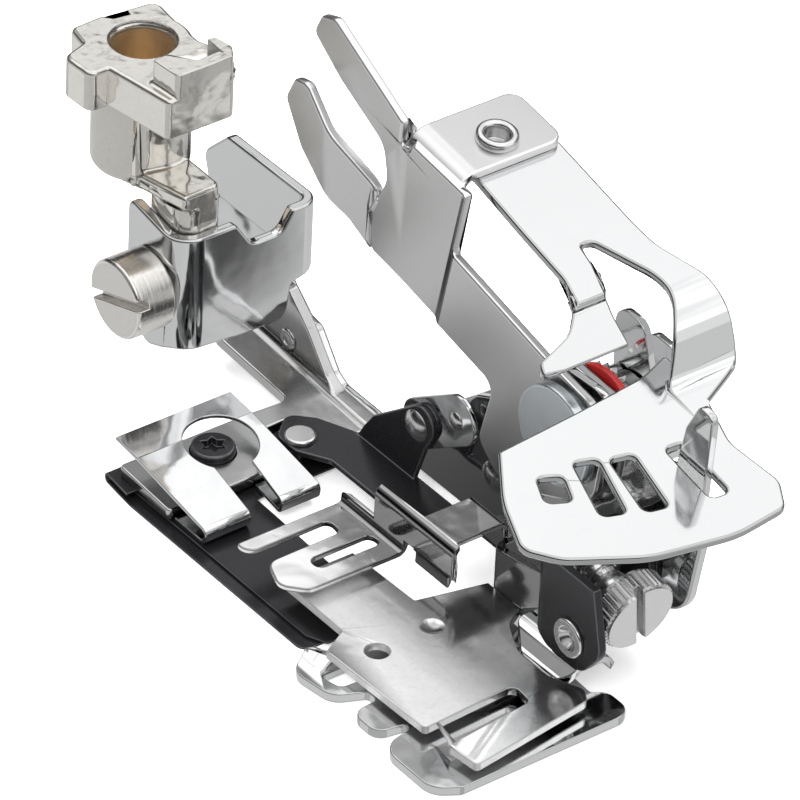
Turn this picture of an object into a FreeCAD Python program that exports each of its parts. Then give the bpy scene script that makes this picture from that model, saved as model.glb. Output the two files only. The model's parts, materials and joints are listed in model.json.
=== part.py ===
"""Ruffling foot for a sewing machine, on a cast low-shank adapter.

Millimetres. X to the operator's right, Y away from the operator, Z up. The origin is
the centre of the presser-bar bore's mouth, and the needle plate is at Z = bed_z.
The stamped plates stand side by side across X, riveted on one pivot stud.
"""
import FreeCAD, Part
import math
import os

V = FreeCAD.Vector

# Fits and edges
run_gap = 0.05
layer_gap = 0.2
edge_ease = 0.12

# Needle plate that the foot stands on
bed_z = -36.5

# Cast shank adapter
bore_r = 3.03
bore_depth = 11.0
rim_chamfer = 0.3
barrel_r = 4.9
barrel_bottom_z = -13.3
barrel_front_y = -4.6
flange_thick = 4.4
claw_top_z = 2.9
lug_top_z = -11.5
post_left_x = -2.1
post_right_x = 2.3
post_front_y = -10.15
post_back_y = -4.5
post_bottom_z = -26.2

# Clamp and long frame plate, one folded sheet
frame_thick = 1.2
clamp_left_x = -3.4
frame_right_x = 12.8
clamp_front_y = -11.4
clamp_top_z = -15.8
clamp_bottom_z = -28.0
clamp_bend_r = 2.4
frame_rivet_y = -41.9
frame_rivet_z = -30.7
frame_rivet_r = 1.0
left_flange_back_y = -1.9
right_flange_top_z = -14.9
frame_left_x = frame_right_x - frame_thick

# Clamp screw
clamp_screw_y = -7.2
clamp_screw_z = -22.7
clamp_screw_r = 1.75
clamp_head_r = 4.1
clamp_head_long = 4.5
clamp_slot_wide = 1.0
clamp_slot_deep = 1.3
clamp_screw_end_x = 4.6

# Plates on the pivot stud, from the operator's left
stud_y = -55.2
stud_z = -16.3
stud_r = 2.0
stud_head_r = 5.2
stud_head_thick = 1.1
stud_neck_r = 4.1
stud_neck_thick = 0.3
arm_left_x = 9.3
arm_thick = 1.0
lever_thick = 0.9
ring_r = 5.2
ring_thick = 0.7
ratchet_r = 5.0
ratchet_thick = 0.9
ratchet_teeth = 24
ratchet_tooth_deep = 0.6
cam_r = 4.2
cam_thick = 2.2
pawl_thick = 0.8
pawl_span = 3.6
nut_across_r = 3.2
nut_thick = 1.8
arm_right_x = arm_left_x + arm_thick
lever_left_x = arm_right_x + layer_gap
lever_right_x = lever_left_x + lever_thick
ring_left_x = frame_right_x + layer_gap
ratchet_left_x = ring_left_x + ring_thick + run_gap
cam_left_x = ratchet_left_x + ratchet_thick
pawl_left_x = cam_left_x + cam_thick + layer_gap
nut_left_x = pawl_left_x + pawl_span + pawl_thick + layer_gap
stud_end_x = nut_left_x + nut_thick + 0.5
stud_head_left_x = arm_left_x - layer_gap - stud_neck_thick - stud_head_thick

# Fork arm: flange bend line, tilt and fork
flange_bend_y = -34.58
flange_bend_z = 1.66
flange_tilt = math.radians(8.6)
flange_right_x = 21.7
flange_back_s = -5.3
flange_front_s = 2.4
flange_bend_r = 1.5
fork_lower_out = 2.5

# Selector plate, pivoted under the arm's flange
selector_thick = 0.9
selector_pivot_x = 16.3
selector_pivot_s = -1.4
selector_drop = 7.5
selector_step_s = 27.8
selector_right_x = 22.1
slot_centre_r = 40.0
slot_wide = 2.1
slot_long = 6.3
slot_first_long = 3.0
slot_angles = (27.2, 21.2, 15.6)
rivet_r = 1.35
rivet_hollow_r = 0.95
rivet_head_r = 2.1
rivet_head_high = 0.9
tab_wide = 4.2
tab_high = 7.0
tab_side_gap = 0.6

# Sole, foot plate and blades
foot_thick = 1.0
foot_right_x = frame_left_x
foot_flange_back_y = -4.5
foot_flange_z = -33.4
foot_slope = math.radians(3.6)
foot_flange_left_x = 7.1
foot_rivet_y = -11.2
foot_rivet_z = -32.4
foot_rivet_r = 0.75
sole_thick = 0.4
sole_left_x = -13.3
sole_right_x = 0.3
sole_back_y = -15.2
sole_back_z = -32.1
sole_front_y = -30.0
sole_front_z = -34.3
sole_hole_x = -4.8
sole_hole_y = -20.7
sole_hole_r = 3.7
sole_slot_left_x = -7.2
sole_slot_right_x = -3.3
sole_screw_r = 2.2
blade_thick = 0.22
separator_left_x = -15.0
separator_front_y = -47.8
blade_left_x = -13.6
blade_front_y = -48.4
blade_right_x = -5.0
carrier_thick = 0.6
carrier_wall_x = 8.0
carrier_left_x = 3.3
carrier_web_z = -34.5
link_thick = 0.6
link_rear_y = -34.4
link_rear_z = -27.7
link_front_y = -39.6
link_front_z = -24.3
link_half = 2.6
blade_rivet_x = 3.0
blade_rivet_y = -23.0
carrier_rivet_r = 1.75
carrier_rivet_shank_r = 0.9
link_rivet_shank_r = 0.6
link_rivet_r = 1.0

# Base, comb and lower guide
base_thick = 0.9
base_top_z = -33.9
base_hole_r = 1.2
comb_thick = 0.6
comb_top_z = -32.4
comb_wall_x = -0.8
comb_wall_top_z = -28.0
guide_thick = 1.1
guide_top_z = bed_z + guide_thick
front_wall_x = 3.8
bracket_thick = 0.9

# Yoke and knurled adjusting screw
yoke_thick = 0.9
yoke_left_x = 1.4
yoke_back_y = -61.3
knob_x = 6.5
knob_face_y = -70.4
knob_face_z = -27.4
knob_tilt = math.radians(12.5)
knob_r = 3.9
knob_thick = 2.8
knob_slot_wide = 1.0
knob_slot_deep = 1.0
knob_shank_r = 1.6
knob_shank_long = 11.0
knurl_count = 44
ear_rivet_y = -66.6
ear_rivet_z = -29.8


# Outlines and sheets

def closed_wire(corners, place):
    """Wire through (u, v) or (u, v, radius) corners, put in space by place(u, v)."""
    flat = [V(c[0], c[1], 0) for c in corners]
    radii = [c[2] if len(c) > 2 else 0.0 for c in corners]
    count = len(flat)
    turns = []
    for i, here in enumerate(flat):
        if radii[i] == 0:
            turns.append((here, None, here))
            continue
        back = (flat[i - 1] - here).normalize()
        on = (flat[(i + 1) % count] - here).normalize()
        half = back.getAngle(on) / 2
        middle = (back + on).normalize()
        reach = radii[i] / math.tan(half)
        crown = here + middle * (radii[i] / math.sin(half) - radii[i])
        turns.append((here + back * reach, crown, here + on * reach))
    edges = []
    for i, (start, crown, end) in enumerate(turns):
        if crown is not None:
            arc = Part.Arc(place(*start[:2]), place(*crown[:2]), place(*end[:2]))
            edges.append(arc.toShape())
        after = turns[(i + 1) % count][0]
        if end.distanceToPoint(after) > 1e-6:
            edges.append(Part.makeLine(place(*end[:2]), place(*after[:2])))
    return Part.Wire(edges)


def slab(corners, place, depth):
    return Part.Face(closed_wire(corners, place)).extrude(depth)


def slab_x(corners, x0, x1):
    return slab(corners, lambda u, v: V(x0, u, v), V(x1 - x0, 0, 0))


def slab_y(corners, y0, y1):
    return slab(corners, lambda u, v: V(u, y0, v), V(0, y1 - y0, 0))


def slab_z(corners, z0, z1):
    return slab(corners, lambda u, v: V(u, v, z0), V(0, 0, z1 - z0))


def box(x0, x1, y0, y1, z0, z1):
    return Part.makeBox(x1 - x0, y1 - y0, z1 - z0, V(x0, y0, z0))


def drum(radius, length, start, axis):
    return Part.makeCylinder(radius, length, start, axis)


def ring_of(outer, inner, length, start, axis):
    return drum(outer, length, start, axis).cut(drum(inner, length, start, axis))


def ribbon(path, thick):
    """Corners of a sheet's section that follows (u, v) or (u, v, bend radius) points."""
    points = [V(p[0], p[1], 0) for p in path]
    bends = [p[2] if len(p) > 2 else 0.0 for p in path]
    half = thick / 2
    left, right = [], []
    last = len(points) - 1
    for i, here in enumerate(points):
        ahead = (points[min(i + 1, last)] - points[min(i, last - 1)]).normalize()
        behind = (points[max(i, 1)] - points[max(i - 1, 0)]).normalize()
        side_ahead = V(-ahead.y, ahead.x, 0)
        side_behind = V(-behind.y, behind.x, 0)
        side = (side_ahead + side_behind).normalize()
        mitre = side * (half / side.dot(side_ahead))
        turn = behind.x * ahead.y - behind.y * ahead.x
        grow = half if turn < 0 else -half
        inner = bends[i] + grow if bends[i] else 0.0
        outer = bends[i] - grow if bends[i] else 0.0
        left.append((here.x + mitre.x, here.y + mitre.y, inner))
        right.append((here.x - mitre.x, here.y - mitre.y, outer))
    return left + right[::-1]


def fuse_all(pieces):
    joined = pieces[0]
    for piece in pieces[1:]:
        joined = joined.fuse(piece)
    return joined.removeSplitter()


def eased(shape, radius, keep):
    """Round the edges that keep(edge) picks, as tumbling does before plating."""
    edges = [edge for edge in shape.Edges if keep(edge)]
    return shape.makeFillet(radius, edges)


def middle_of(edge):
    return edge.valueAt((edge.FirstParameter + edge.LastParameter) / 2)


def edges_at(axis, *places):
    """Pick edges that lie wholly in a plane across the axis at one of the places."""
    def keep(edge):
        ends = [edge.valueAt(edge.FirstParameter), middle_of(edge), edge.valueAt(edge.LastParameter)]
        return any(all(abs(point[axis] - place) < 1e-4 for point in ends) for place in places)
    return keep


# Plane of the fork arm's flange, which the selector plate follows

def flange_point(x, s, d):
    """Point x across, s forward of the bend line and d above the flange's top."""
    y = flange_bend_y - s * math.cos(flange_tilt) - d * math.sin(flange_tilt)
    z = flange_bend_z - s * math.sin(flange_tilt) + d * math.cos(flange_tilt)
    return V(x, y, z)


flange_up = flange_point(0, 0, 1) - flange_point(0, 0, 0)
flange_on = flange_point(0, 1, 0) - flange_point(0, 0, 0)


def flange_slab(corners, d_low, d_high):
    return slab(corners, lambda x, s: flange_point(x, s, d_low), flange_up * (d_high - d_low))


def flange_strip(path, thick, x0, x1):
    """Sheet whose section follows (s, d) points, from x0 to x1."""
    return slab(ribbon(path, thick), lambda s, d: flange_point(x0, s, d), V(x1 - x0, 0, 0))


# Shank adapter and clamp

def make_shank_adapter():
    top = rim_chamfer
    plan = [(-4.4, -10.3), (3.2, -10.3, 0.8), (4.9, -8.0, 1.2), (5.4, -5.4, 1.0), (4.5, -3.0, 0.4),
            (4.6, 0.0), (5.3, 5.1, 1.2), (1.4, 5.4, 0.3), (1.2, 4.5), (0.3, 4.5), (-0.8, 5.8, 0.4),
            (-4.6, 5.6, 0.9), (-5.2, 2.8, 0.3), (-8.0, 1.9, 1.2), (-7.8, -2.3, 0.9), (-5.6, -2.2, 0.2)]
    flange = slab_z(plan, top - flange_thick, top)
    flange = eased(flange, 0.25, edges_at(2, top - flange_thick))
    barrel = drum(barrel_r, top - barrel_bottom_z, V(0, 0, barrel_bottom_z), V(0, 0, 1))
    barrel = eased(barrel, 1.0, edges_at(2, barrel_bottom_z))
    front = slab_z([(-3.3, 0), (-3.3, barrel_front_y + 0.9), (-2.4, barrel_front_y),
                    (2.5, barrel_front_y), (2.5, 0)], barrel_bottom_z, top - flange_thick / 2)
    claw = slab_z([(-3.4, -10.3), (3.1, -10.3, 0.6), (4.0, -8.8, 0.8), (3.6, -6.6, 0.4), (2.7, -6.5, 0.2),
                   (2.6, -8.8, 0.3), (-0.2, -9.0, 0.3), (-2.2, -6.6, 0.3), (-3.7, -6.7, 0.2)],
                  top - 1.0, claw_top_z)
    claw = eased(claw, 0.15, edges_at(2, claw_top_z))
    toe = slab_z([(-3.3, 0), (-3.3, barrel_front_y), (post_left_x, post_front_y, 0.4),
                  (2.35, post_front_y, 1.0), (2.5, barrel_front_y), (2.5, 0)], -13.2, lug_top_z)
    post = slab_z([(post_left_x, post_back_y), (post_left_x, post_front_y, clamp_bend_r - 0.4),
                   (post_right_x, post_front_y, 0.6), (post_right_x, post_back_y)], post_bottom_z, -13.0)
    body = fuse_all([flange, barrel, front, claw, toe, post])
    bore = drum(bore_r, bore_depth, V(0, 0, -bore_depth), V(0, 0, 1))
    rim = Part.makeCone(bore_r, bore_r + 1.5 * rim_chamfer, rim_chamfer, V(0, 0, 0), V(0, 0, 1))
    thread = drum(clamp_screw_r + run_gap, 12, V(-6, clamp_screw_y, clamp_screw_z), V(1, 0, 0))
    return body.cut(bore).cut(rim).cut(thread)


def frame_outline():
    """Side view of the long frame plate, behind the clamp and forward to the ratchet."""
    return [(-9.0, right_flange_top_z), (0.5, right_flange_top_z, 1.2), (6.4, -19.9, 1.5), (4.2, -28.0, 2.0),
            (-2.5, bed_z, 2.0), (-44.5, bed_z, 2.5), (-50.0, -33.0, 4.0), (-62.5, -33.2, 4.0),
            (-70.6, -28.6, 4.0), (-72.4, -18.0, 3.0), (-66.5, -14.6, 3.0), (-60.2, -11.2, 4.0),
            (-50.6, -11.0, 4.0), (-41.0, -21.0, 3.0), (-25.2, -34.3, 1.6), (-19.6, -33.7, 3.0),
            (-16.9, -32.4, 3.0), (-13.6, -28.9, 2.0), (-10.4, -26.0, 1.0), (-9.0, -24.0)]


def make_frame_bracket():
    half = frame_thick / 2
    path = [(clamp_left_x + half, left_flange_back_y), (clamp_left_x + half, clamp_front_y + half, clamp_bend_r),
            (frame_right_x - half, clamp_front_y + half, clamp_bend_r), (frame_right_x - half, -8.0)]
    clamp = slab_z(ribbon(path, frame_thick), clamp_bottom_z, right_flange_top_z)
    front_view = slab_y([(3.1, clamp_top_z, 0.3), (3.6, clamp_top_z - 1.9, 0.9),
                         (8.0, clamp_top_z - 1.9, 1.4), (8.9, clamp_top_z, 0.4), (11.2, clamp_top_z, 0.6),
                         (11.9, right_flange_top_z), (frame_right_x + 1, right_flange_top_z),
                         (frame_right_x + 1, -25.6), (11.0, -25.8, 1.0), (8.4, clamp_bottom_z, 2.2),
                         (clamp_left_x - 1, clamp_bottom_z),
                         (clamp_left_x - 1, clamp_top_z)], clamp_front_y - 1, 12)
    side_view = slab_x([(clamp_front_y - 1, clamp_bottom_z), (-6.0, clamp_bottom_z, 2.0),
                        (left_flange_back_y, -23.0, 1.5), (left_flange_back_y, clamp_top_z, 1.0),
                        (clamp_front_y - 1, clamp_top_z)], clamp_left_x - 1, 2.0)
    right_part = box(2.0, frame_right_x + 1, clamp_front_y - 1, -7.9, -30, -10)
    clamp = clamp.common(front_view).common(side_view.fuse(right_part))
    clamp = clamp.cut(drum(clamp_screw_r + 0.3, 4, V(clamp_left_x - 1, clamp_screw_y, clamp_screw_z), V(1, 0, 0)))
    plate = slab_x(frame_outline(), frame_left_x, frame_right_x)
    for radius, y, z in ((stud_r, stud_y, stud_z), (frame_rivet_r, frame_rivet_y, frame_rivet_z),
                         (foot_rivet_r, foot_rivet_y, foot_rivet_z)):
        plate = plate.cut(drum(radius, 4, V(frame_left_x - 1, y, z), V(1, 0, 0)))
    return clamp.fuse(plate).removeSplitter()


def make_clamp_screw():
    start = V(clamp_left_x - run_gap, clamp_screw_y, clamp_screw_z)
    head = drum(clamp_head_r, clamp_head_long, start, V(-1, 0, 0))
    head = head.makeChamfer(0.25, [e for e in head.Edges if abs(e.BoundBox.XLength) < 1e-6])
    shank = drum(clamp_screw_r, clamp_screw_end_x - start.x + run_gap, start, V(1, 0, 0))
    slot = box(start.x - clamp_head_long - 1, start.x - clamp_head_long + clamp_slot_deep,
               clamp_screw_y - 6, clamp_screw_y + 6,
               clamp_screw_z - clamp_slot_wide / 2, clamp_screw_z + clamp_slot_wide / 2)
    slot.rotate(start, V(1, 0, 0), -18)
    return head.fuse(shank).cut(slot).removeSplitter()


# Plates on the pivot stud

def stud_hole(x, radius=stud_r + run_gap):
    return drum(radius, 6, V(x - 3, stud_y, stud_z), V(1, 0, 0))


def make_pivot_stud():
    x = stud_head_left_x
    head = drum(stud_head_r, stud_head_thick, V(x, stud_y, stud_z), V(1, 0, 0))
    head = eased(head, 0.3, edges_at(0, x))
    neck = drum(stud_neck_r, stud_neck_thick, V(x + stud_head_thick, stud_y, stud_z), V(1, 0, 0))
    shaft = drum(stud_r, stud_end_x - x - stud_head_thick, V(x + stud_head_thick, stud_y, stud_z), V(1, 0, 0))
    shaft = shaft.makeChamfer(0.3, [e for e in shaft.Edges if edges_at(0, stud_end_x)(e)])
    return fuse_all([head, neck, shaft])


def make_fork_arm():
    arm = slab_x([(-17.6, 8.6, 0.8), (-15.4, 7.9, 0.9), (-14.3, 5.6, 0.9), (-18.7, 2.5, 3.0), (-24.9, -0.6, 2.0),
                  (-26.3, -4.5, 2.0), (-24.3, -9.2), (-24.5, -13.5, 0.6), (-29.2, -14.3, 3.0), (-40.3, -17.1, 3.0),
                  (-44.3, -17.6, 1.5), (-42.5, -24.6, 1.5), (-45.6, -27.2, 2.0), (-51.0, -26.0, 4.0),
                  (-59.8, -22.2, 4.0), (-61.2, -11.8, 4.0), (-52.1, -8.0, 5.0), (-37.6, -4.2, 1.5),
                  (-38.3, 0.2), (-29.8, 1.4), (-29.4, 2.4, 1.0)], arm_left_x, arm_right_x)
    prong = [(-24.3, -9.2), (-25.4, -7.0, 1.5), (-21.3, -2.6, 3.0), (-16.9, 1.9, 1.0), (-14.9, 1.5, 0.9),
             (-13.6, -1.2, 1.0), (-16.2, -5.5, 4.0), (-22.4, -10.6, 3.0), (-24.5, -13.5)]
    tall = slab_x(prong, arm_left_x - 5, arm_left_x + 5)
    mid = arm_left_x + arm_thick / 2
    lean = slab_z(ribbon([(mid, -27), (mid, -24.6, 3.0), (mid - fork_lower_out, -20.4, 3.0),
                          (mid - fork_lower_out, -10)], arm_thick), -16, 4)
    s_mid = (flange_back_s + flange_front_s) / 2
    half = arm_thick / 2
    section = ribbon([(arm_left_x + half, -4.5), (arm_left_x + half, -half, flange_bend_r),
                      (flange_right_x, -half)], arm_thick)
    strip = slab(section, lambda x, d: flange_point(x, flange_back_s, d),
                 flange_on * (flange_front_s - flange_back_s))
    trim = flange_slab([(arm_left_x - 1, flange_back_s), (flange_right_x, flange_back_s, 1.6),
                        (flange_right_x, flange_front_s, 1.6), (arm_left_x - 1, flange_front_s)], -6, 1)
    strip = strip.common(trim)
    hole = drum(rivet_r, 4, flange_point(selector_pivot_x, selector_pivot_s, -2), flange_up)
    body = fuse_all([arm, lean.common(tall), strip])
    return body.cut(hole).cut(stud_hole(arm_left_x))


def make_arm_rivet():
    """Tubular rivet: rolled head on the flange, a shoulder under the selector plate."""
    centre = flange_point(selector_pivot_x, selector_pivot_s, 0)
    under = arm_thick + run_gap + selector_thick + run_gap
    tube = drum(rivet_r, under + rivet_head_high + 1.0, centre - flange_up * (under + 1.0), flange_up)
    head = drum(rivet_head_r, rivet_head_high, centre, flange_up)
    head = eased(head, 0.4, lambda e: abs((middle_of(e) - centre).dot(flange_up) - rivet_head_high) < 1e-4)
    foot = drum(rivet_head_r, 1.0, centre - flange_up * (under + 1.0), flange_up)
    hollow = drum(rivet_hollow_r, rivet_head_high + 1.1, centre - flange_up * 1.1, flange_up)
    return fuse_all([tube, head, foot]).cut(hollow)


def slot_at(angle_deg, length, wide):
    """Radial slot about the selector's pivot, in the stepped-down sector."""
    angle = math.radians(angle_deg)
    def spot(r, side):
        x = selector_pivot_x - r * math.sin(angle) + side * math.cos(angle)
        s = selector_pivot_s + r * math.cos(angle) + side * math.sin(angle)
        return (x, s, 0.45)
    r0, r1 = slot_centre_r - length / 2, slot_centre_r + length / 2
    corners = [spot(r0, -wide / 2), spot(r0, wide / 2), spot(r1, wide / 2), spot(r1, -wide / 2)]
    low = -selector_drop - selector_thick - 1
    return flange_slab(corners, low, low + selector_thick + 2)


def tab_angle():
    middle = lever_left_x + lever_thick / 2
    return math.degrees(math.asin((selector_pivot_x - middle) / slot_centre_r))


def make_selector_plate():
    top = -arm_thick - run_gap
    mid = top - selector_thick / 2
    low = -selector_drop - selector_thick / 2
    step = selector_step_s
    sheet = flange_strip([(-8, mid), (step, mid, 1.3), (step, low, 1.3), (step + 30, low)],
                         selector_thick, -12, 30)
    leg_plan = flange_slab([(11.6, -4.4, 1.0), (selector_right_x, -4.4, 1.0), (selector_right_x, 24.0, 4.0),
                            (selector_right_x + 0.8, step + 2.5, 1.0), (18.3, 31.6, 0.6), (16.2, 35.0),
                            (15.0, 35.0), (15.0, step), (16.3, 25.8, 1.5), (16.9, 18.7, 4.0), (16.2, 14.7, 0.8),
                            (14.9, 14.2, 0.5), (14.4, 17.0, 2.0), (12.9, 20.6), (9.5, 20.6), (10.1, 18.3, 2.0),
                            (11.3, 11.4, 5.0), (11.9, 3.0)], -12, 2)
    sector = flange_slab([(-3.7, 27.8, 0.5), (9.0, 27.1), (17.5, 26.9), (20.0, 27.4), (18.3, 31.8, 1.5),
                          (16.1, 37.0, 4.0), (16.9, 43.6, 1.0), (15.0, 46.6, 1.6), (8.9, 47.5, 9.0),
                          (-0.1, 45.7, 9.0), (-7.2, 42.3, 2.5), (-9.4, 38.9, 1.6), (-7.3, 33.3, 9.0)],
                         low - selector_thick / 2, low + selector_thick / 2)
    tongue = flange_strip([(18.0, mid), (20.6, mid, 1.2), (24.2, mid - 3.6)], selector_thick, -2, 20)
    tongue_plan = flange_slab([(10.0, 18.0), (9.4, 20.6, 1.5), (4.6, 23.2, 0.6), (5.6, 25.4), (13.8, 25.4),
                               (13.4, 22.6, 0.8), (12.9, 20.6), (14.2, 18.0)], -8, 2)
    body = fuse_all([sheet.common(leg_plan), sector, tongue.common(tongue_plan)])
    body = body.cut(drum(rivet_r + run_gap, 4, flange_point(selector_pivot_x, selector_pivot_s, -4), flange_up))
    for i, angle in enumerate(slot_angles):
        body = body.cut(slot_at(angle, slot_first_long if i == 0 else slot_long, slot_wide))
    return body.cut(slot_at(tab_angle(), slot_long, lever_thick + 2 * tab_side_gap))


def make_drive_lever():
    """Rocking lever: rear arm towards the blade link, front arm ending in the tab."""
    tab_s = selector_pivot_s + slot_centre_r * math.cos(math.radians(tab_angle()))
    under = -selector_drop - selector_thick - 0.6
    crown = -selector_drop + tab_high
    def at(s, d):
        spot = flange_point(0, s, d)
        return (spot.y, spot.z)
    half = tab_wide / 2
    outline = [at(tab_s - half, under) + (0.4,), at(tab_s - half * 0.9, crown - 3.4) + (2.0,),
               at(tab_s - half * 0.35, crown) + (0.7,), at(tab_s + half * 0.6, crown) + (0.9,),
               at(tab_s + half, under - 0.5) + (2.0,), (-72.6, -17.6, 1.8), (-66.5, -19.8, 5.0),
               (-61.0, -20.5, 2.0), (-56.5, -23.3, 4.0), (-47.0, -23.8, 5.0), (-41.5, -25.8, 1.6),
               (-37.6, -24.6, 1.8), (-40.0, -21.8, 1.8), (-49.0, -17.5, 5.0), (-50.8, -11.4, 4.0),
               (-58.6, -10.9, 4.0), (-61.6, -14.6, 4.0)]
    lever = slab_x(outline, lever_left_x, lever_right_x)
    return lever.cut(stud_hole(lever_left_x))


def make_friction_ring():
    return ring_of(ring_r, stud_r + run_gap, ring_thick, V(ring_left_x, stud_y, stud_z), V(1, 0, 0))


def make_ratchet_wheel():
    """Wheel with one raked tooth for each stitch step."""
    corners = []
    for i in range(ratchet_teeth):
        step = 2 * math.pi / ratchet_teeth
        tip, root = i * step, i * step + 0.12 * step
        corners.append((stud_y + ratchet_r * math.cos(tip), stud_z + ratchet_r * math.sin(tip)))
        inner = ratchet_r - ratchet_tooth_deep
        corners.append((stud_y + inner * math.cos(root), stud_z + inner * math.sin(root)))
    wheel = slab_x(corners, ratchet_left_x, ratchet_left_x + ratchet_thick)
    return wheel.cut(stud_hole(ratchet_left_x))


def make_cam_disc():
    """Lobed disc fixed to the ratchet wheel: its high points lift the pawl."""
    disc = drum(cam_r - 0.8, cam_thick, V(cam_left_x, stud_y, stud_z), V(1, 0, 0))
    for i in range(2):
        angle = math.pi * i + 0.6
        lobe = drum(1.6, cam_thick, V(cam_left_x, stud_y + (cam_r - 1.6) * math.cos(angle),
                                      stud_z + (cam_r - 1.6) * math.sin(angle)), V(1, 0, 0))
        disc = disc.fuse(lobe)
    return disc.removeSplitter().cut(stud_hole(cam_left_x + 1))


def make_pawl_carrier():
    """Folded carrier of the pawl: two round-topped lugs on the stud joined below it."""
    left, right = pawl_left_x, pawl_left_x + pawl_span
    low = stud_z - 5.6
    near = slab_x([(stud_y - 2.4, low), (stud_y - 3.3, stud_z, 1.5), (stud_y - 0.5, -7.2, 1.8),
                   (stud_y + 3.6, -7.0, 1.8), (stud_y + 3.4, stud_z, 1.5), (stud_y + 2.4, low)],
                  left, left + pawl_thick)
    far = slab_x([(stud_y - 2.4, low), (stud_y - 3.3, stud_z, 1.5), (stud_y - 1.0, -11.2, 1.6),
                  (stud_y + 3.0, -11.0, 1.6), (stud_y + 3.4, stud_z, 1.5), (stud_y + 2.4, low)],
                 right, right + pawl_thick)
    bridge = box(left, right + pawl_thick, stud_y - 2.4, stud_y + 2.4, low - pawl_thick, low)
    body = fuse_all([near, far, bridge])
    return body.cut(drum(stud_r + run_gap, 12, V(left - 2, stud_y, stud_z), V(1, 0, 0)))


def make_stud_nut():
    corners = [(stud_y + nut_across_r * math.cos(math.radians(60 * i)),
                stud_z + nut_across_r * math.sin(math.radians(60 * i))) for i in range(6)]
    nut = slab_x(corners, nut_left_x, nut_left_x + nut_thick)
    return nut.cut(stud_hole(nut_left_x, stud_r))


# Foot plate, sole and blades

def foot_level(y):
    """Height of the sloping flange's top at y."""
    return foot_flange_z + (y - foot_flange_back_y) * math.tan(foot_slope)


def make_foot_plate():
    half = foot_thick / 2
    front_y = -24.8
    section = ribbon([(foot_flange_back_y, foot_level(foot_flange_back_y) - half),
                      (front_y, foot_level(front_y) - half)], foot_thick)
    flange = slab_x(section, sole_left_x - 0.6, foot_right_x)
    plan = slab_z([(foot_right_x, foot_flange_back_y), (foot_flange_left_x, foot_flange_back_y, 0.8),
                   (foot_flange_left_x, -13.6, 2.0), (1.5, -15.6), (sole_left_x - 0.5, -15.6, 0.5),
                   (sole_left_x - 0.5, front_y, 0.5), (0.2, front_y, 0.5), (1.4, -17.6, 1.0), (4.2, -17.0, 2.0),
                   (7.0, -20.0, 2.0), (9.4, -24.6, 0.6), (foot_right_x, -24.6)], -40, -30)
    flange = flange.common(plan)
    front = -24.6
    wall = slab_x([(foot_flange_back_y, foot_level(foot_flange_back_y) - foot_thick), (-2.4, -33.0, 0.6),
                   (-1.0, -26.6, 1.0), (-10.6, -26.6, 1.2), (-13.6, -29.2, 3.0), (-16.2, -32.9, 2.0),
                   (-18.4, -33.8, 1.5), (front, foot_level(front) + 0.3), (front, foot_level(front) - foot_thick)],
                  foot_right_x - foot_thick, foot_right_x)
    stud = drum(sole_screw_r, 6, V(sole_hole_x, sole_hole_y + 1.2, -38), V(0, 0, 1))
    rivet = drum(foot_rivet_r, 3, V(foot_right_x - 2, foot_rivet_y, foot_rivet_z), V(1, 0, 0))
    return fuse_all([flange, wall]).cut(stud).cut(rivet)


def make_foot_rivet():
    """Flat-ringed rivet that joins the foot plate to the frame plate."""
    x = foot_right_x - foot_thick
    start = V(x - 0.25, foot_rivet_y, foot_rivet_z)
    head = drum(foot_rivet_r + 0.5, 0.25, start, V(1, 0, 0))
    body = drum(foot_rivet_r, foot_right_x - x + 0.25 + frame_thick, start, V(1, 0, 0))
    return head.fuse(body).removeSplitter()


def make_sole_spring():
    """Thin polished sheet, sloping forward, hemmed under at its front edge."""
    section = ribbon([(sole_back_y, sole_back_z), (sole_back_y - 3.6, sole_back_z - 0.35, 2.0),
                      (sole_front_y, sole_front_z, 0.62), (sole_front_y + 0.35, sole_front_z - 1.4, 0.55),
                      (sole_front_y + 5.0, sole_front_z - 1.35)], sole_thick)
    sheet = slab_x(section, sole_left_x, sole_right_x)
    hole = drum(sole_hole_r, 12, V(sole_hole_x, sole_hole_y, -40), V(0, 0, 1))
    slot = slab_z([(sole_slot_left_x, sole_hole_y), (sole_slot_left_x - 0.9, sole_front_y - 2),
                   (sole_slot_right_x - 1.3, sole_front_y - 2), (sole_slot_right_x, sole_hole_y)],
                  -39.5, sole_front_z + 4)
    return sheet.cut(hole.fuse(slot))


def make_sole_screw():
    """Dark flush screw with a star recess, in the foot plate under the sole's round hole."""
    y = sole_hole_y + 1.2
    low, high = foot_level(y) - foot_thick + 0.15, foot_level(y) + 0.7
    head = drum(sole_screw_r, high - low, V(sole_hole_x, y, low), V(0, 0, 1))
    head = eased(head, 0.3, edges_at(2, high))
    star = []
    for i in range(12):
        reach = 1.35 if i % 2 == 0 else 0.85
        angle = math.radians(30 * i)
        star.append((sole_hole_x + reach * math.cos(angle), y + reach * math.sin(angle)))
    return head.cut(slab_z(star, high - 0.8, high + 1))


def make_separator_blade():
    """Black blade on the needle plate, turned up behind and returned under the foot plate."""
    half = blade_thick / 2
    low = bed_z + half
    back = sole_back_y - 0.2
    under = foot_level(-19.5) - foot_thick - half - 0.04
    section = ribbon([(separator_front_y, low), (back, low, 0.4), (back, under, 0.4), (-19.5, under)], blade_thick)
    sheet = slab_x(section, separator_left_x, blade_right_x + 1.0)
    plan = slab_z([(separator_left_x, separator_front_y, 1.2), (blade_right_x, separator_front_y, 0.8),
                   (blade_right_x + 1.0, -14), (separator_left_x + 0.6, -14), (separator_left_x, -20)], -38, -30)
    return sheet.common(plan)


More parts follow.
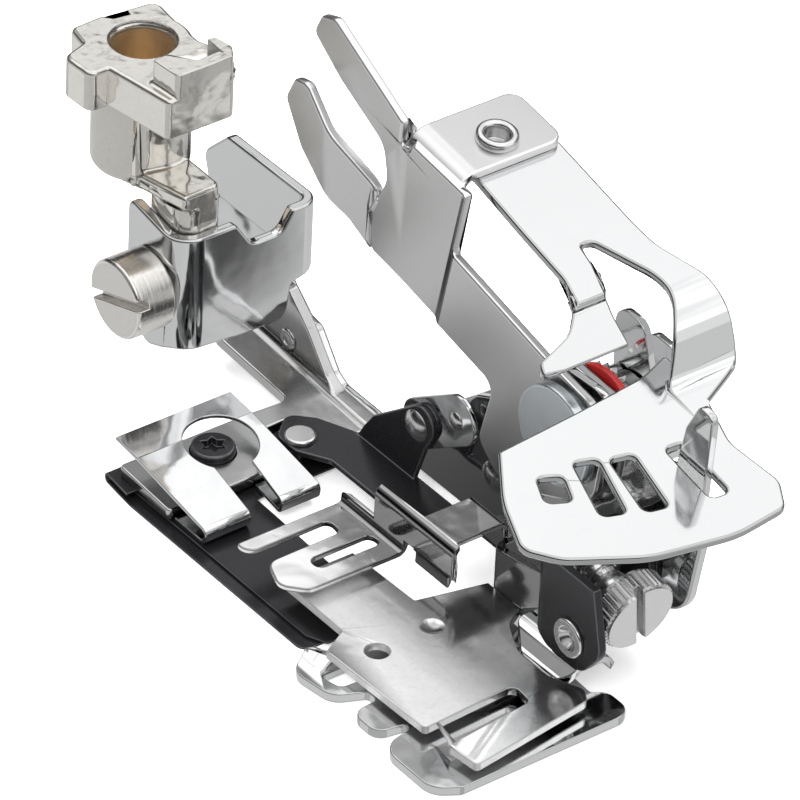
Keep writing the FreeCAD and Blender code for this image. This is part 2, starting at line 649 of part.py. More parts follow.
def make_ruffling_blade():
    """Black sliding blade over the separator, reaching right to the carrier."""
    low = bed_z + blade_thick + 0.08
    plan = [(blade_left_x, -17.6, 0.6), (blade_left_x, -46.4), (blade_left_x + 1.0, blade_front_y, 0.6),
            (-11.0, blade_front_y, 1.0), (-10.6, -46.0), (blade_right_x, -45.6, 0.6), (blade_right_x, -26.4, 1.0),
            (6.6, -26.4, 0.6), (6.6, -19.2, 0.6), (-2.0, -17.6)]
    return slab_z(plan, low, low + blade_thick)


def make_blade_carrier():
    """Folded black channel: web over the bed and a wall up to the link."""
    x0, x1 = carrier_wall_x, carrier_wall_x + carrier_thick
    web = slab_z([(x1, -26.2, 1.0), (x1, -40.4, 0.6), (4.8, -40.4, 0.8), (carrier_left_x, -35.0, 1.0),
                  (carrier_left_x, -27.6, 1.0), (1.4, -24.4, 1.2), (1.4, -21.4, 1.2), (4.2, -19.0, 1.2),
                  (6.4, -21.2, 1.2)], carrier_web_z, carrier_web_z + carrier_thick)
    wall = slab_x([(-25.2, carrier_web_z, 0.4), (-26.4, -32.4, 1.0), (-27.8, -30.4, 1.0), (-35.2, -24.6, 1.8),
                   (-37.4, -26.8, 1.6), (-35.8, -29.8, 2.0), (-34.2, carrier_web_z)], x0, x1)
    hole = drum(0.9, 3, V(blade_rivet_x, blade_rivet_y, carrier_web_z - 1), V(0, 0, 1))
    pivot = drum(carrier_rivet_shank_r, 4, V(x0 - 1, link_rear_y, link_rear_z), V(1, 0, 0))
    return web.fuse(wall).removeSplitter().cut(hole).cut(pivot)


def make_blade_rivet():
    """Rivet with a spacer shank, from the blade up through the carrier's web."""
    low = bed_z + 2 * blade_thick + 0.08
    top = carrier_web_z + carrier_thick
    post = drum(0.9, top - low, V(blade_rivet_x, blade_rivet_y, low), V(0, 0, 1))
    head = drum(1.6, 0.5, V(blade_rivet_x, blade_rivet_y, top), V(0, 0, 1))
    return post.fuse(eased(head, 0.3, edges_at(2, top + 0.5))).removeSplitter()


def make_drive_link():
    """Strap from the carrier's rivet to the lever's pivot."""
    lean = math.atan2(link_front_z - link_rear_z, link_front_y - link_rear_y)
    def spot(y, z, along, across, radius):
        return (y + along * math.cos(lean) - across * math.sin(lean),
                z + along * math.sin(lean) + across * math.cos(lean), radius)
    rear, front = (link_rear_y, link_rear_z), (link_front_y, link_front_z)
    corners = [spot(*rear, -link_half, -link_half, 2.0), spot(*front, link_half, -link_half, 2.2),
               spot(*front, link_half, link_half, 2.2), spot(*rear, -link_half, link_half, 2.0)]
    x0 = carrier_wall_x + carrier_thick
    strap = slab_x(corners, x0, x0 + link_thick)
    strap = strap.cut(drum(carrier_rivet_shank_r, 3, V(x0 - 1, *rear), V(1, 0, 0)))
    return strap.cut(drum(link_rivet_shank_r, 3, V(x0 - 1, *front), V(1, 0, 0)))


def domed_rivet(x, y, z, head_r, shank_r, length):
    """Rivet with a low dome to the operator's left of x and a shank to the right."""
    high = 0.42 * head_r
    ball_r = (head_r ** 2 + high ** 2) / (2 * high)
    ball = Part.makeSphere(ball_r, V(x - high + ball_r, y, z))
    dome = ball.common(drum(head_r * 1.2, high, V(x - high, y, z), V(1, 0, 0)))
    return dome.fuse(drum(shank_r, length, V(x, y, z), V(1, 0, 0))).removeSplitter()


# Base, comb, lower guide and brackets

def make_base_plate():
    plan = [(-12.0, -40.6), (-12.0, -49.8, 0.5), (-15.1, -51.4, 0.3), (-14.6, -65.8, 0.5), (-3.9, -65.3, 0.8),
            (-4.2, -68.0, 0.7), (-14.4, -69.0, 0.4), (-14.0, -72.8, 0.5), (0.3, -70.9, 0.8), (1.2, -69.4, 1.0),
            (-0.4, -65.9, 2.0), (-0.4, -61.3, 3.0), (1.6, -57.6, 2.0), (front_wall_x, -56.4, 0.5),
            (front_wall_x, -51.5), (-3.6, -49.8), (-3.9, -40.6)]
    plate = slab_z(plan, base_top_z - base_thick, base_top_z)
    plate = eased(plate, edge_ease, edges_at(2, base_top_z))
    plate = plate.cut(drum(base_hole_r, 3, V(-11.2, -54.1, base_top_z - 2), V(0, 0, 1)))
    dimple = Part.makeSphere(2.2, V(-4.7, -53.9, base_top_z + 1.8))
    return plate.cut(dimple)


def make_base_shim():
    """Packing plate between the lower guide and the base, which leaves the cloth's gap."""
    plan = [(-12.0, -55.0, 1.5), (0.1, -55.0, 1.5), (0.1, -64.0, 1.5), (-13.0, -64.0, 1.5)]
    return slab_z(plan, guide_top_z, base_top_z - base_thick)


def make_comb_guide():
    half = comb_thick / 2
    level = comb_top_z - half
    path = [(-16, level), (comb_wall_x, level, 0.9), (comb_wall_x, comb_wall_top_z, 0.8),
            (5.7, comb_wall_top_z, 0.7), (5.7, -31.6, 0.7), (frame_left_x, -31.6)]
    sheet = slab_y(ribbon(path, comb_thick), -55, -35)
    fingers = slab_z([(-13.3, -33.3, 1.6), (-2.2, -33.3, 2.2), (0.4, -36.9), (0.4, -44.7), (-1.6, -44.7, 0.8),
                      (-12.0, -44.6, 1.6), (-14.0, -42.4, 1.6), (-12.7, -39.0, 1.4), (-4.2, -38.9, 0.8),
                      (-4.0, -36.8, 0.7), (-13.4, -36.8, 1.4)], -34, -31.4)
    window = slab_z([(-9.2, -40.8, 0.8), (-2.2, -40.8, 0.7), (-2.0, -42.5, 0.7), (-9.4, -42.5, 0.8)], -34, -31)
    wall = box(comb_wall_x - 1.2, comb_wall_x + 0.6, -52.0, -39.9, -33.2, -27)
    shelf = slab_z([(comb_wall_x - 0.2, -46.3), (frame_left_x, -46.3), (frame_left_x, -51.4),
                    (comb_wall_x - 0.2, -51.4)], -33, -27)
    wall_low = box(comb_wall_x - 3, comb_wall_x + 0.29, -53, -44.7, -34, -31.3)
    keep = fingers.cut(window).fuse(wall.cut(wall_low)).fuse(shelf)
    return sheet.common(keep).removeSplitter()


def make_lower_guide():
    plan = [(3.4, -52.8, 1.0), (-13.9, -51.4, 0.3), (-14.3, -48.7, 0.3), (-15.2, -48.4, 0.3), (-18.3, -50.6, 2.2), (-17.6, -55.6, 2.2),
            (-14.4, -57.0, 0.5), (-14.4, -58.4, 0.5), (-17.5, -58.6, 1.4), (-17.5, -62.3, 1.4), (-14.6, -62.8, 0.4),
            (-14.6, -63.6, 0.4), (-18.3, -64.2, 2.4), (-18.3, -71.6, 2.4), (-15.8, -73.1, 0.8), (4.0, -73.1, 1.7),
            (4.0, -69.3, 1.7), (2.6, -68.6, 0.5)]
    plate = slab_z(plan, bed_z, guide_top_z)
    plate = eased(plate, edge_ease, edges_at(2, guide_top_z))
    return plate.cut(slab_z([(-16.6, -52.6, 0.5), (-12.0, -52.6), (-12.0, -55.2), (-16.0, -55.0, 0.8)], -38, -34))


def make_front_bracket():
    """Chrome wall beside the base, turned right behind to the frame plate."""
    half = bracket_thick / 2
    path = [(frame_left_x, -51.9), (front_wall_x + half, -51.9, 0.9), (front_wall_x + half, -60.4)]
    sheet = slab_z(ribbon(path, bracket_thick), base_top_z - base_thick, -27.5)
    side = slab_x([(-50.0, -35.5), (-50.0, -29.8), (-56.0, -28.9), (-60.6, -28.0), (-60.6, -31.8, 0.8),
                   (-57.2, base_top_z - base_thick, 1.0)], 0, 14)
    return sheet.common(side)


def make_side_roll():
    """Polished strip rolled over between the base's edge and the yoke."""
    section = ribbon([(-0.6, -35.0), (0.8, -35.0, 1.2), (2.4, -33.5, 1.6), (5.4, -33.6, 1.4), (6.4, -35.0)], 0.8)
    strip = slab_y(section, -67.6, -57.6)
    plan = slab_z([(0.2, -61.2, 2.0), (2.2, -58.0, 0.8), (front_wall_x - 0.1, -58.0), (front_wall_x - 0.1, -60.8),
                   (7.4, -60.8), (7.4, -67.2, 1.5), (1.4, -67.2, 1.5),
                   (0.2, -65.6, 1.5)], -38, -30)
    return strip.common(plan)


def make_frame_rivet():
    """Domed rivet by the arm's lower end, through the frame plate."""
    return domed_rivet(frame_left_x, frame_rivet_y, frame_rivet_z, 1.7, frame_rivet_r, frame_thick + 0.4)


def make_yoke():
    """Folded yoke: a round-ended ear each side and a back web tapped for the screw."""
    half = yoke_thick / 2
    right = frame_left_x
    path = [(yoke_left_x + half, -75), (yoke_left_x + half, yoke_back_y, 1.0),
            (right - half, yoke_back_y, 1.0), (right - half, -75)]
    sheet = slab_z(ribbon(path, yoke_thick), -34, -22)
    ears = slab_x([(-60.0, -22.9), (-60.0, -30.6, 1.5), (-63.2, -32.9, 2.2), (-68.4, -32.9, 2.2),
                   (-70.9, -29.6, 2.2), (-69.4, -22.9)], 0, 14)
    web = box(yoke_left_x + 1.4, right - 1.4, -62, -60, -30.4, -22.9)
    side = ears.cut(box(yoke_left_x + 1.6, right - 1.6, -80, -50, -40, -20))
    corner = sheet.common(side.fuse(web.fuse(ears.common(box(0, 14, -63, -59, -30.4, -22.9)))))
    axis = V(0, math.cos(knob_tilt), math.sin(knob_tilt))
    tapped = drum(knob_shank_r + run_gap, 30, V(knob_x, knob_face_y, knob_face_z) + axis * 3, axis)
    low_right = box(right - 3, right, -66, -59, -40, -22)
    rivet = drum(1.1, 2, V(yoke_left_x - 0.5, ear_rivet_y, ear_rivet_z), V(1, 0, 0))
    corner = corner.cut(box(right - 1.6, right + 1, -80, -66.2, -40, -20))
    return corner.cut(tapped).cut(rivet).removeSplitter()


def make_ear_rivet():
    """Hollow rivet in the yoke's near ear."""
    x = yoke_left_x
    head = drum(2.0, 0.5, V(x - 0.5, ear_rivet_y, ear_rivet_z), V(1, 0, 0))
    head = eased(head, 0.25, edges_at(0, x - 0.5))
    shank = drum(1.1, yoke_thick + 0.2, V(x, ear_rivet_y, ear_rivet_z), V(1, 0, 0))
    hollow = Part.makeCone(1.25, 0.6, 0.9, V(x - 0.5, ear_rivet_y, ear_rivet_z), V(1, 0, 0))
    return head.fuse(shank).removeSplitter().cut(hollow)


def make_adjusting_screw():
    """Knurled head with a screwdriver slot, on a shank through the yoke's web."""
    axis = V(0, math.cos(knob_tilt), math.sin(knob_tilt))
    up = V(0, -math.sin(knob_tilt), math.cos(knob_tilt))
    face = V(knob_x, knob_face_y, knob_face_z)
    side = V(1, 0, 0)
    corners = []
    for i in range(knurl_count):
        for share, radius in ((0.0, knob_r - 0.22), (0.3, knob_r), (0.7, knob_r)):
            angle = 2 * math.pi * (i + share) / knurl_count
            corners.append((radius * math.cos(angle), radius * math.sin(angle)))
    rim = slab(corners, lambda u, v: face + axis * 0.35 + side * u + up * v, axis * (knob_thick - 0.7))
    core = drum(knob_r - 0.3, knob_thick, face, axis)
    shank = drum(knob_shank_r, knob_shank_long, face + axis * (knob_thick - 0.1), axis)
    slot = Part.makeBox(knob_slot_wide, 2 * knob_r + 4, knob_slot_deep + 1,
                        V(-knob_slot_wide / 2, -knob_r - 2, -1))
    slot.Placement = FreeCAD.Placement(face, FreeCAD.Rotation(side, up * 1.0, axis, "ZXY"))
    slot.rotate(face, axis, -14)
    return fuse_all([rim, core, shank]).cut(slot)


parts = {
    "shank_adapter": make_shank_adapter(),
    "frame_bracket": make_frame_bracket(),
    "clamp_screw": make_clamp_screw(),
    "pivot_stud": make_pivot_stud(),
    "fork_arm": make_fork_arm(),
    "arm_rivet": make_arm_rivet(),
    "selector_plate": make_selector_plate(),
    "drive_lever": make_drive_lever(),
    "friction_ring": make_friction_ring(),
    "ratchet_wheel": make_ratchet_wheel(),
    "cam_disc": make_cam_disc(),
    "pawl_carrier": make_pawl_carrier(),
    "stud_nut": make_stud_nut(),
    "foot_plate": make_foot_plate(),
    "foot_rivet": make_foot_rivet(),
    "sole_spring": make_sole_spring(),
    "sole_screw": make_sole_screw(),
    "separator_blade": make_separator_blade(),
    "ruffling_blade": make_ruffling_blade(),
    "blade_carrier": make_blade_carrier(),
    "blade_rivet": make_blade_rivet(),
    "drive_link": make_drive_link(),
    "link_rivet": domed_rivet(carrier_wall_x + carrier_thick, link_front_y, link_front_z,
                              link_rivet_r, link_rivet_shank_r, link_thick),
    "carrier_rivet": domed_rivet(carrier_wall_x, link_rear_y, link_rear_z, carrier_rivet_r,
                                 carrier_rivet_shank_r,
                                 carrier_thick + link_thick),
    "base_plate": make_base_plate(),
    "base_shim": make_base_shim(),
    "comb_guide": make_comb_guide(),
    "lower_guide": make_lower_guide(),
    "front_bracket": make_front_bracket(),
    "side_roll": make_side_roll(),
    "frame_rivet": make_frame_rivet(),
    "yoke": make_yoke(),
    "ear_rivet": make_ear_rivet(),
    "adjusting_screw": make_adjusting_screw(),
}

os.makedirs("parts", exist_ok=True)
for name, shape in parts.items():
    solids = shape.Solids
    print(name, "valid", shape.isValid(), "solids", len(solids), "volume", round(shape.Volume, 2))
    shape.exportStep("parts/" + name + ".step")
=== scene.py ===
"""Looks of the ruffling foot: chromed sheet, satin arm, cast nickel adapter, black blades.

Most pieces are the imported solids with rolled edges. The frame, the arm, the selector, the foot
plate and two rivets are drawn again here, closer to the photograph, and a node tree makes the
knurled screw with its thread.
"""

import json
import math

import bmesh
import bpy
from mathutils import Matrix, Vector
from mathutils.bvhtree import BVHTree


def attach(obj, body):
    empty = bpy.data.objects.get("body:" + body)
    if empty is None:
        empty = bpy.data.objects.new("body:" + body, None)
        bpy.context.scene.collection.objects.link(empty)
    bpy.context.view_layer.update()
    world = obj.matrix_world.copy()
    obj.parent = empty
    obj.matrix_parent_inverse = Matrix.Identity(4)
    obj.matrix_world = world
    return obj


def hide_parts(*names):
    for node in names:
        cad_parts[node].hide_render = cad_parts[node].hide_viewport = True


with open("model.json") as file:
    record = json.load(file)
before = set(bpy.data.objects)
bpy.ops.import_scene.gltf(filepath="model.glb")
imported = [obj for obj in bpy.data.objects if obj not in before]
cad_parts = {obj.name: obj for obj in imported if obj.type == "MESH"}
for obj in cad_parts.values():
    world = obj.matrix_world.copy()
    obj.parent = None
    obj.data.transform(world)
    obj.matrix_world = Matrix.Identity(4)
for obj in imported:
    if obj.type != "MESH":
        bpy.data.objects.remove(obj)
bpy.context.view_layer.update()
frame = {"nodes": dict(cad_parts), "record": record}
scene = bpy.context.scene
MM = 0.001

# Places that several pieces share, in mm
CLAMP_SCREW_Y, CLAMP_SCREW_Z = -7.2, -22.7
STUD_Y, STUD_Z, STUD_R, RUN_GAP = -55.2, -16.3, 2.0, 0.05
FOOT_RIVET_Y, FOOT_RIVET_Z, FOOT_RIVET_R = -11.0, -32.2, 0.75
ALONG_X = Vector((1, 0, 0))


# Node helpers

def node(tree, kind, **inputs):
    made = tree.nodes.new(kind)
    for key, value in inputs.items():
        made.inputs[key.replace("_", " ")].default_value = value
    return made


def mathed(tree, operation, first, second=None, clamp=False):
    made = tree.nodes.new("ShaderNodeMath")
    made.operation = operation
    made.use_clamp = clamp
    for slot, value in enumerate((first, second)):
        if value is None:
            continue
        if hasattr(value, "links"):
            tree.links.new(value, made.inputs[slot])
        else:
            made.inputs[slot].default_value = value
    return made.outputs[0]


def ramp(tree, source, stops):
    made = tree.nodes.new("ShaderNodeValToRGB")
    bar = made.color_ramp
    while len(bar.elements) < len(stops):
        bar.elements.new(0.5)
    for element, (at, shade) in zip(bar.elements, stops):
        element.position = at
        element.color = (shade, shade, shade, 1) if not hasattr(shade, "__len__") else (*shade, 1)
    tree.links.new(source, made.inputs[0])
    return made.outputs[0]


def new_group(name, inputs, outputs):
    group = bpy.data.node_groups.new(name, "ShaderNodeTree")
    for label, kind, value in inputs:
        socket = group.interface.new_socket(label, in_out="INPUT", socket_type=kind)
        if value is not None:
            socket.default_value = value
    for label, kind in outputs:
        group.interface.new_socket(label, in_out="OUTPUT", socket_type=kind)
    entry = group.nodes.new("NodeGroupInput")
    leave = group.nodes.new("NodeGroupOutput")
    return group, entry, leave


# Shared finishes

def plating_group():
    """Slow waves, fine grain and hairline marks of a plated surface."""
    group, entry, leave = new_group(
        "plating",
        [("Vector", "NodeSocketVector", None), ("Wave Size", "NodeSocketFloat", 260.0),
         ("Wave", "NodeSocketFloat", 0.5), ("Grain Size", "NodeSocketFloat", 6000.0),
         ("Grain", "NodeSocketFloat", 0.2), ("Marks", "NodeSocketFloat", 0.2)],
        [("Shade", "NodeSocketFloat"), ("Rough", "NodeSocketFloat"), ("Height", "NodeSocketFloat")])
    link = group.links.new
    wave = node(group, "ShaderNodeTexNoise", Detail=2.0, Roughness=0.45)
    grain = node(group, "ShaderNodeTexNoise", Detail=3.0, Roughness=0.6)
    link(entry.outputs["Vector"], wave.inputs["Vector"])
    link(entry.outputs["Wave Size"], wave.inputs["Scale"])
    link(entry.outputs["Vector"], grain.inputs["Vector"])
    link(entry.outputs["Grain Size"], grain.inputs["Scale"])
    stretch = node(group, "ShaderNodeMapping")
    stretch.inputs["Rotation"].default_value = (0.3, 0.2, 0.7)
    stretch.inputs["Scale"].default_value = (1.0, 26.0, 26.0)
    link(entry.outputs["Vector"], stretch.inputs["Vector"])
    hair = node(group, "ShaderNodeTexNoise", Scale=520.0, Detail=4.0, Roughness=0.75)
    link(stretch.outputs[0], hair.inputs["Vector"])
    line = ramp(group, hair.outputs["Fac"], [(0.60, 0.0), (0.68, 1.0), (0.75, 0.0)])
    marks = mathed(group, "MULTIPLY", line, entry.outputs["Marks"])
    centred = mathed(group, "SUBTRACT", grain.outputs["Fac"], 0.5)
    grained = mathed(group, "MULTIPLY", centred, entry.outputs["Grain"])
    shade = mathed(group, "ADD", 1.0, grained)
    shade = mathed(group, "SUBTRACT", shade, mathed(group, "MULTIPLY", marks, 0.25), clamp=True)
    link(shade, leave.inputs["Shade"])
    rough = mathed(group, "ADD", mathed(group, "ABSOLUTE", grained), mathed(group, "MULTIPLY", marks, 0.5))
    link(rough, leave.inputs["Rough"])
    swell = mathed(group, "MULTIPLY", wave.outputs["Fac"], entry.outputs["Wave"])
    height = mathed(group, "ADD", swell, mathed(group, "MULTIPLY", grained, 0.04))
    link(height, leave.inputs["Height"])
    return group


def turning_group():
    """Fine rings left by a lathe, about the X axis of the mapped place."""
    group, entry, leave = new_group(
        "turning", [("Vector", "NodeSocketVector", None), ("Rings per m", "NodeSocketFloat", 9000.0)],
        [("Shade", "NodeSocketFloat"), ("Height", "NodeSocketFloat")])
    link = group.links.new
    parts = node(group, "ShaderNodeSeparateXYZ")
    link(entry.outputs["Vector"], parts.inputs[0])
    square = mathed(group, "ADD", mathed(group, "POWER", parts.outputs["Y"], 2.0),
                    mathed(group, "POWER", parts.outputs["Z"], 2.0))
    radius = mathed(group, "SQRT", square)
    turns = mathed(group, "MULTIPLY", mathed(group, "ADD", radius, parts.outputs["X"]),
                   entry.outputs["Rings per m"])
    rings = node(group, "ShaderNodeTexNoise", Scale=1.0, Detail=2.0)
    rings.noise_dimensions = "1D"
    link(turns, rings.inputs["W"])
    link(rings.outputs["Fac"], leave.inputs["Height"])
    link(mathed(group, "ADD", 0.88, mathed(group, "MULTIPLY", rings.outputs["Fac"], 0.24)),
         leave.inputs["Shade"])
    return group


plating = plating_group()
turning = turning_group()
# Width over which the painted white highlight fades out, and how much darker the painted shade along the
# arm's crease is
PAINTED_HIGHLIGHT_FADE, PAINTED_CREASE_SHADE = 6 * MM, 0.78


def metal(name, colour, rough, wave=0.5, wave_size=260.0, grain=0.2, grain_size=6000.0, marks=0.2,
          bump=0.00004, painted_edge_tone=1.15, metallic=1.0, turned=None, painted_highlight=None):
    """Plated metal: the base colour, its grain, its waves, and a painted tone on its rolled edges (painted
    highlight where the edge factor is above 1, painted shade below 1).

    turned gives a point on the axis of its lathe rings. The last argument gives the x in mm at which a
    painted white highlight, made by a lower metallic value, ends, and the metallic value within it.
    """
    made = bpy.data.materials.new(name)
    made.use_nodes = True
    tree = made.node_tree
    link = tree.links.new
    shader = tree.nodes["Principled BSDF"]
    shader.inputs["Metallic"].default_value = metallic
    coords = node(tree, "ShaderNodeTexCoord")
    # Painted highlight: left of the given x the metal is less metallic, so that side shows whiter
    if painted_highlight:
        edge_x, low = painted_highlight
        across = node(tree, "ShaderNodeSeparateXYZ")
        link(coords.outputs["Object"], across.inputs[0])
        past_edge = mathed(tree, "SUBTRACT", across.outputs["X"], edge_x * MM)
        share = mathed(tree, "ADD", mathed(tree, "MULTIPLY", past_edge, 1 / PAINTED_HIGHLIGHT_FADE), 0.5, clamp=True)
        risen = mathed(tree, "MULTIPLY", share, metallic - low)
        link(mathed(tree, "ADD", low, risen), shader.inputs["Metallic"])
    finish = tree.nodes.new("ShaderNodeGroup")
    finish.node_tree = plating
    for label, value in (("Wave Size", wave_size), ("Wave", wave), ("Grain Size", grain_size),
                         ("Grain", grain), ("Marks", marks)):
        finish.inputs[label].default_value = value
    link(coords.outputs["Object"], finish.inputs["Vector"])
    shade, height = finish.outputs["Shade"], finish.outputs["Height"]
    if turned:
        place = node(tree, "ShaderNodeMapping")
        place.vector_type = "TEXTURE"
        place.inputs["Location"].default_value = turned
        link(coords.outputs["Object"], place.inputs["Vector"])
        lathe = tree.nodes.new("ShaderNodeGroup")
        lathe.node_tree = turning
        link(place.outputs[0], lathe.inputs["Vector"])
        shade = mathed(tree, "MULTIPLY", shade, lathe.outputs["Shade"])
        height = mathed(tree, "ADD", height, mathed(tree, "MULTIPLY", lathe.outputs["Height"], 0.5))
    # Painted light on the rolled edges: the edge factor lightens them (painted highlight) above 1 and darkens
    # them (painted shade) below 1
    rim = node(tree, "ShaderNodeAttribute")
    rim.attribute_name = "painted_edge_tone"
    lift = mathed(tree, "ADD", 1.0, mathed(tree, "MULTIPLY", rim.outputs["Fac"], painted_edge_tone - 1.0))
    # Painted shade: a dark band along the arm's crease, in place of a mirrored dark area
    fold = node(tree, "ShaderNodeAttribute")
    fold.attribute_name = "painted_crease_band"
    painted_crease_dark = mathed(tree, "SUBTRACT", 1.0, mathed(tree, "MULTIPLY", fold.outputs["Fac"], PAINTED_CREASE_SHADE))
    lift = mathed(tree, "MULTIPLY", lift, painted_crease_dark)
    value = mathed(tree, "MULTIPLY", shade, lift)
    tint = node(tree, "ShaderNodeMix")
    tint.data_type = "RGBA"
    tint.blend_type = "MULTIPLY"
    tint.inputs["Factor"].default_value = 1.0
    tint.inputs["A"].default_value = (*colour, 1)
    link(value, tint.inputs["B"])
    link(tint.outputs["Result"], shader.inputs["Base Color"])
    link(mathed(tree, "ADD", rough, mathed(tree, "MULTIPLY", finish.outputs["Rough"], 0.5), clamp=True),
         shader.inputs["Roughness"])
    relief = node(tree, "ShaderNodeBump", Strength=1.0, Distance=bump)
    link(height, relief.inputs["Height"])
    link(relief.outputs["Normal"], shader.inputs["Normal"])
    return made


chrome = metal("bright_chrome", (0.74, 0.745, 0.75), 0.07, wave=1.0, wave_size=170.0, grain=0.1, bump=0.0001,
               painted_edge_tone=0.72)
satin = metal("satin_chrome", (0.70, 0.70, 0.70), 0.3, wave=0.25, grain=0.14, grain_size=5200.0, bump=0.00002)
nickel = metal("cast_nickel", (0.80, 0.78, 0.735), 0.1, wave=1.0, wave_size=300.0, grain=0.25,
               grain_size=2600.0, bump=0.0002, metallic=0.93, painted_edge_tone=0.75)
steel = metal("turned_steel", (0.66, 0.66, 0.66), 0.2)
black = metal("blackened_steel", (0.035, 0.035, 0.038), 0.22, wave=0.4, grain=0.3, painted_edge_tone=3.0, metallic=0.7)
fibre = metal("red_fibre", (0.42, 0.02, 0.018), 0.5, grain=0.5, metallic=0.0, painted_edge_tone=1.0)
brass = metal("brass_bore", (0.87, 0.73, 0.54), 0.28, grain=0.5, grain_size=900.0, metallic=0.95)
clamp_face = metal("clamp_screw_face", (0.78, 0.76, 0.73), 0.2,
                   turned=(0.0, CLAMP_SCREW_Y * MM, CLAMP_SCREW_Z * MM))
stud_face = metal("stud_face", (0.62, 0.66, 0.68), 0.3, grain=0.1,
                  turned=(0.0, STUD_Y * MM, STUD_Z * MM))
smooth_chrome = metal("smooth_chrome", (0.74, 0.745, 0.75), 0.08, wave=0.25, wave_size=120.0, grain=0.06,
                      bump=0.00008, painted_edge_tone=0.6)
dull_chrome = metal("dull_chrome", (0.50, 0.50, 0.50), 0.2, wave=1.0, grain=0.3, bump=0.00006, painted_edge_tone=1.3)
knob_steel = metal("knob_steel", (0.72, 0.72, 0.72), 0.2, grain=0.15, metallic=0.93)
comb_chrome = metal("comb_chrome", (0.80, 0.80, 0.80), 0.09, wave=1.0, wave_size=170.0, grain=0.1,
                    bump=0.00008, painted_edge_tone=0.4, painted_highlight=(-7.0, 0.72))
table_chrome = metal("table_chrome", (0.74, 0.74, 0.74), 0.13, wave=1.0, wave_size=170.0, grain=0.5,
                     grain_size=2200.0, bump=0.0001, painted_edge_tone=0.6, painted_highlight=(-7.0, 0.58))

finish_of_slot = {"cast_nickel": nickel, "chrome_sheet": chrome, "satin_sheet": satin,
                  "turned_steel": steel, "black_steel": black, "red_fibre": fibre}
slot_of_node = {row["node"]: row["material_slot"] for row in frame["record"]["subparts"]}
body_of_node = {part: body for body, parts in frame["record"]["behaviour"]["bodies"].items()
                for part in parts}


# Sheets cut and folded from outlines, in mm

# Length of the pieces of an arc, and the least and greatest turn of each
ARC_CHORD, ARC_LEAST, ARC_MOST = 0.35, math.radians(3), math.radians(15)


def rounded(corners):
    """Outline whose (u, v, radius) corners are turned into arcs."""
    spots = [Vector(corner[:2]) for corner in corners]
    turned = []
    for i, here in enumerate(spots):
        radius = corners[i][2] if len(corners[i]) > 2 else 0.0
        back = (spots[i - 1] - here).normalized()
        on = (spots[(i + 1) % len(spots)] - here).normalized()
        half = back.angle(on) / 2
        if radius <= 0 or half > math.radians(89.5):
            turned.append(here)
            continue
        centre = here + (back + on).normalized() * (radius / math.sin(half))
        first = here + back * (radius / math.tan(half)) - centre
        last = here + on * (radius / math.tan(half)) - centre
        sweep = first.angle(last)
        steps = max(2, math.ceil(sweep / min(max(ARC_CHORD / radius, ARC_LEAST), ARC_MOST)))
        for k in range(steps + 1):
            share = k / steps
            turned.append(centre + (first * math.sin((1 - share) * sweep) + last * math.sin(share * sweep))
                          / math.sin(sweep))
    return turned


def ribbon(path, thick):
    """Corners of a sheet's section that follows (u, v) or (u, v, bend radius) points."""
    points = [Vector(spot[:2]) for spot in path]
    bends = [spot[2] if len(spot) > 2 else 0.0 for spot in path]
    half, last = thick / 2, len(path) - 1
    left, right = [], []
    for i, here in enumerate(points):
        ahead = (points[min(i + 1, last)] - points[min(i, last - 1)]).normalized()
        behind = (points[max(i, 1)] - points[max(i - 1, 0)]).normalized()
        side_ahead, side_behind = Vector((-ahead.y, ahead.x)), Vector((-behind.y, behind.x))
        side = (side_ahead + side_behind).normalized()
        mitre = side * (half / side.dot(side_ahead))
        turn = behind.x * ahead.y - behind.y * ahead.x
        grow = half if turn < 0 else -half
        left.append((here.x + mitre.x, here.y + mitre.y, bends[i] + grow if bends[i] else 0.0))
        right.append((here.x - mitre.x, here.y - mitre.y, bends[i] - grow if bends[i] else 0.0))
    return left + right[::-1]


def as_piece(work, name="sheet"):
    bmesh.ops.recalc_face_normals(work, faces=work.faces)
    mesh = bpy.data.meshes.new(name)
    work.to_mesh(mesh)
    work.free()
    piece = bpy.data.objects.new(name, mesh)
    scene.collection.objects.link(piece)
    return piece


def slab(corners, place, depth):
    """Sheet solid: an outline put in space by place(u, v) and drawn out along depth."""
    work = bmesh.new()
    low = [work.verts.new(place(*spot) * MM) for spot in rounded(corners)]
    high = [work.verts.new(vert.co + depth * MM) for vert in low]
    work.faces.new(low)
    work.faces.new(high)
    for i in range(len(low)):
        work.faces.new((low[i - 1], low[i], high[i], high[i - 1]))
    return as_piece(work)


def slab_x(corners, x0, x1):
    return slab(corners, lambda u, v: Vector((x0, u, v)), Vector((x1 - x0, 0, 0)))


def slab_y(corners, y0, y1):
    return slab(corners, lambda u, v: Vector((u, y0, v)), Vector((0, y1 - y0, 0)))


def slab_z(corners, z0, z1):
    return slab(corners, lambda u, v: Vector((u, v, z0)), Vector((0, 0, z1 - z0)))


def turned_piece(profile, start, axis, sides=48):
    """Lathe-turned solid: (radius, along) points about an axis from start."""
    axis = axis.normalized()
    side = axis.orthogonal().normalized()
    across = axis.cross(side)
    work = bmesh.new()
    rings = []
    for radius, along in profile:
        centre = start + axis * along
        if radius == 0:
            rings.append([work.verts.new(centre * MM)])
            continue
        rings.append([work.verts.new((centre + (side * math.cos(2 * math.pi * k / sides)
                                                + across * math.sin(2 * math.pi * k / sides)) * radius) * MM)
                      for k in range(sides)])
    for one, two in zip(rings, rings[1:]):
        for k in range(sides):
            corners = [one[k % len(one)], one[(k + 1) % sides % len(one)],
                       two[(k + 1) % sides % len(two)], two[k % len(two)]]
            work.faces.new(list(dict.fromkeys(corners)))
    return as_piece(work, "turned")


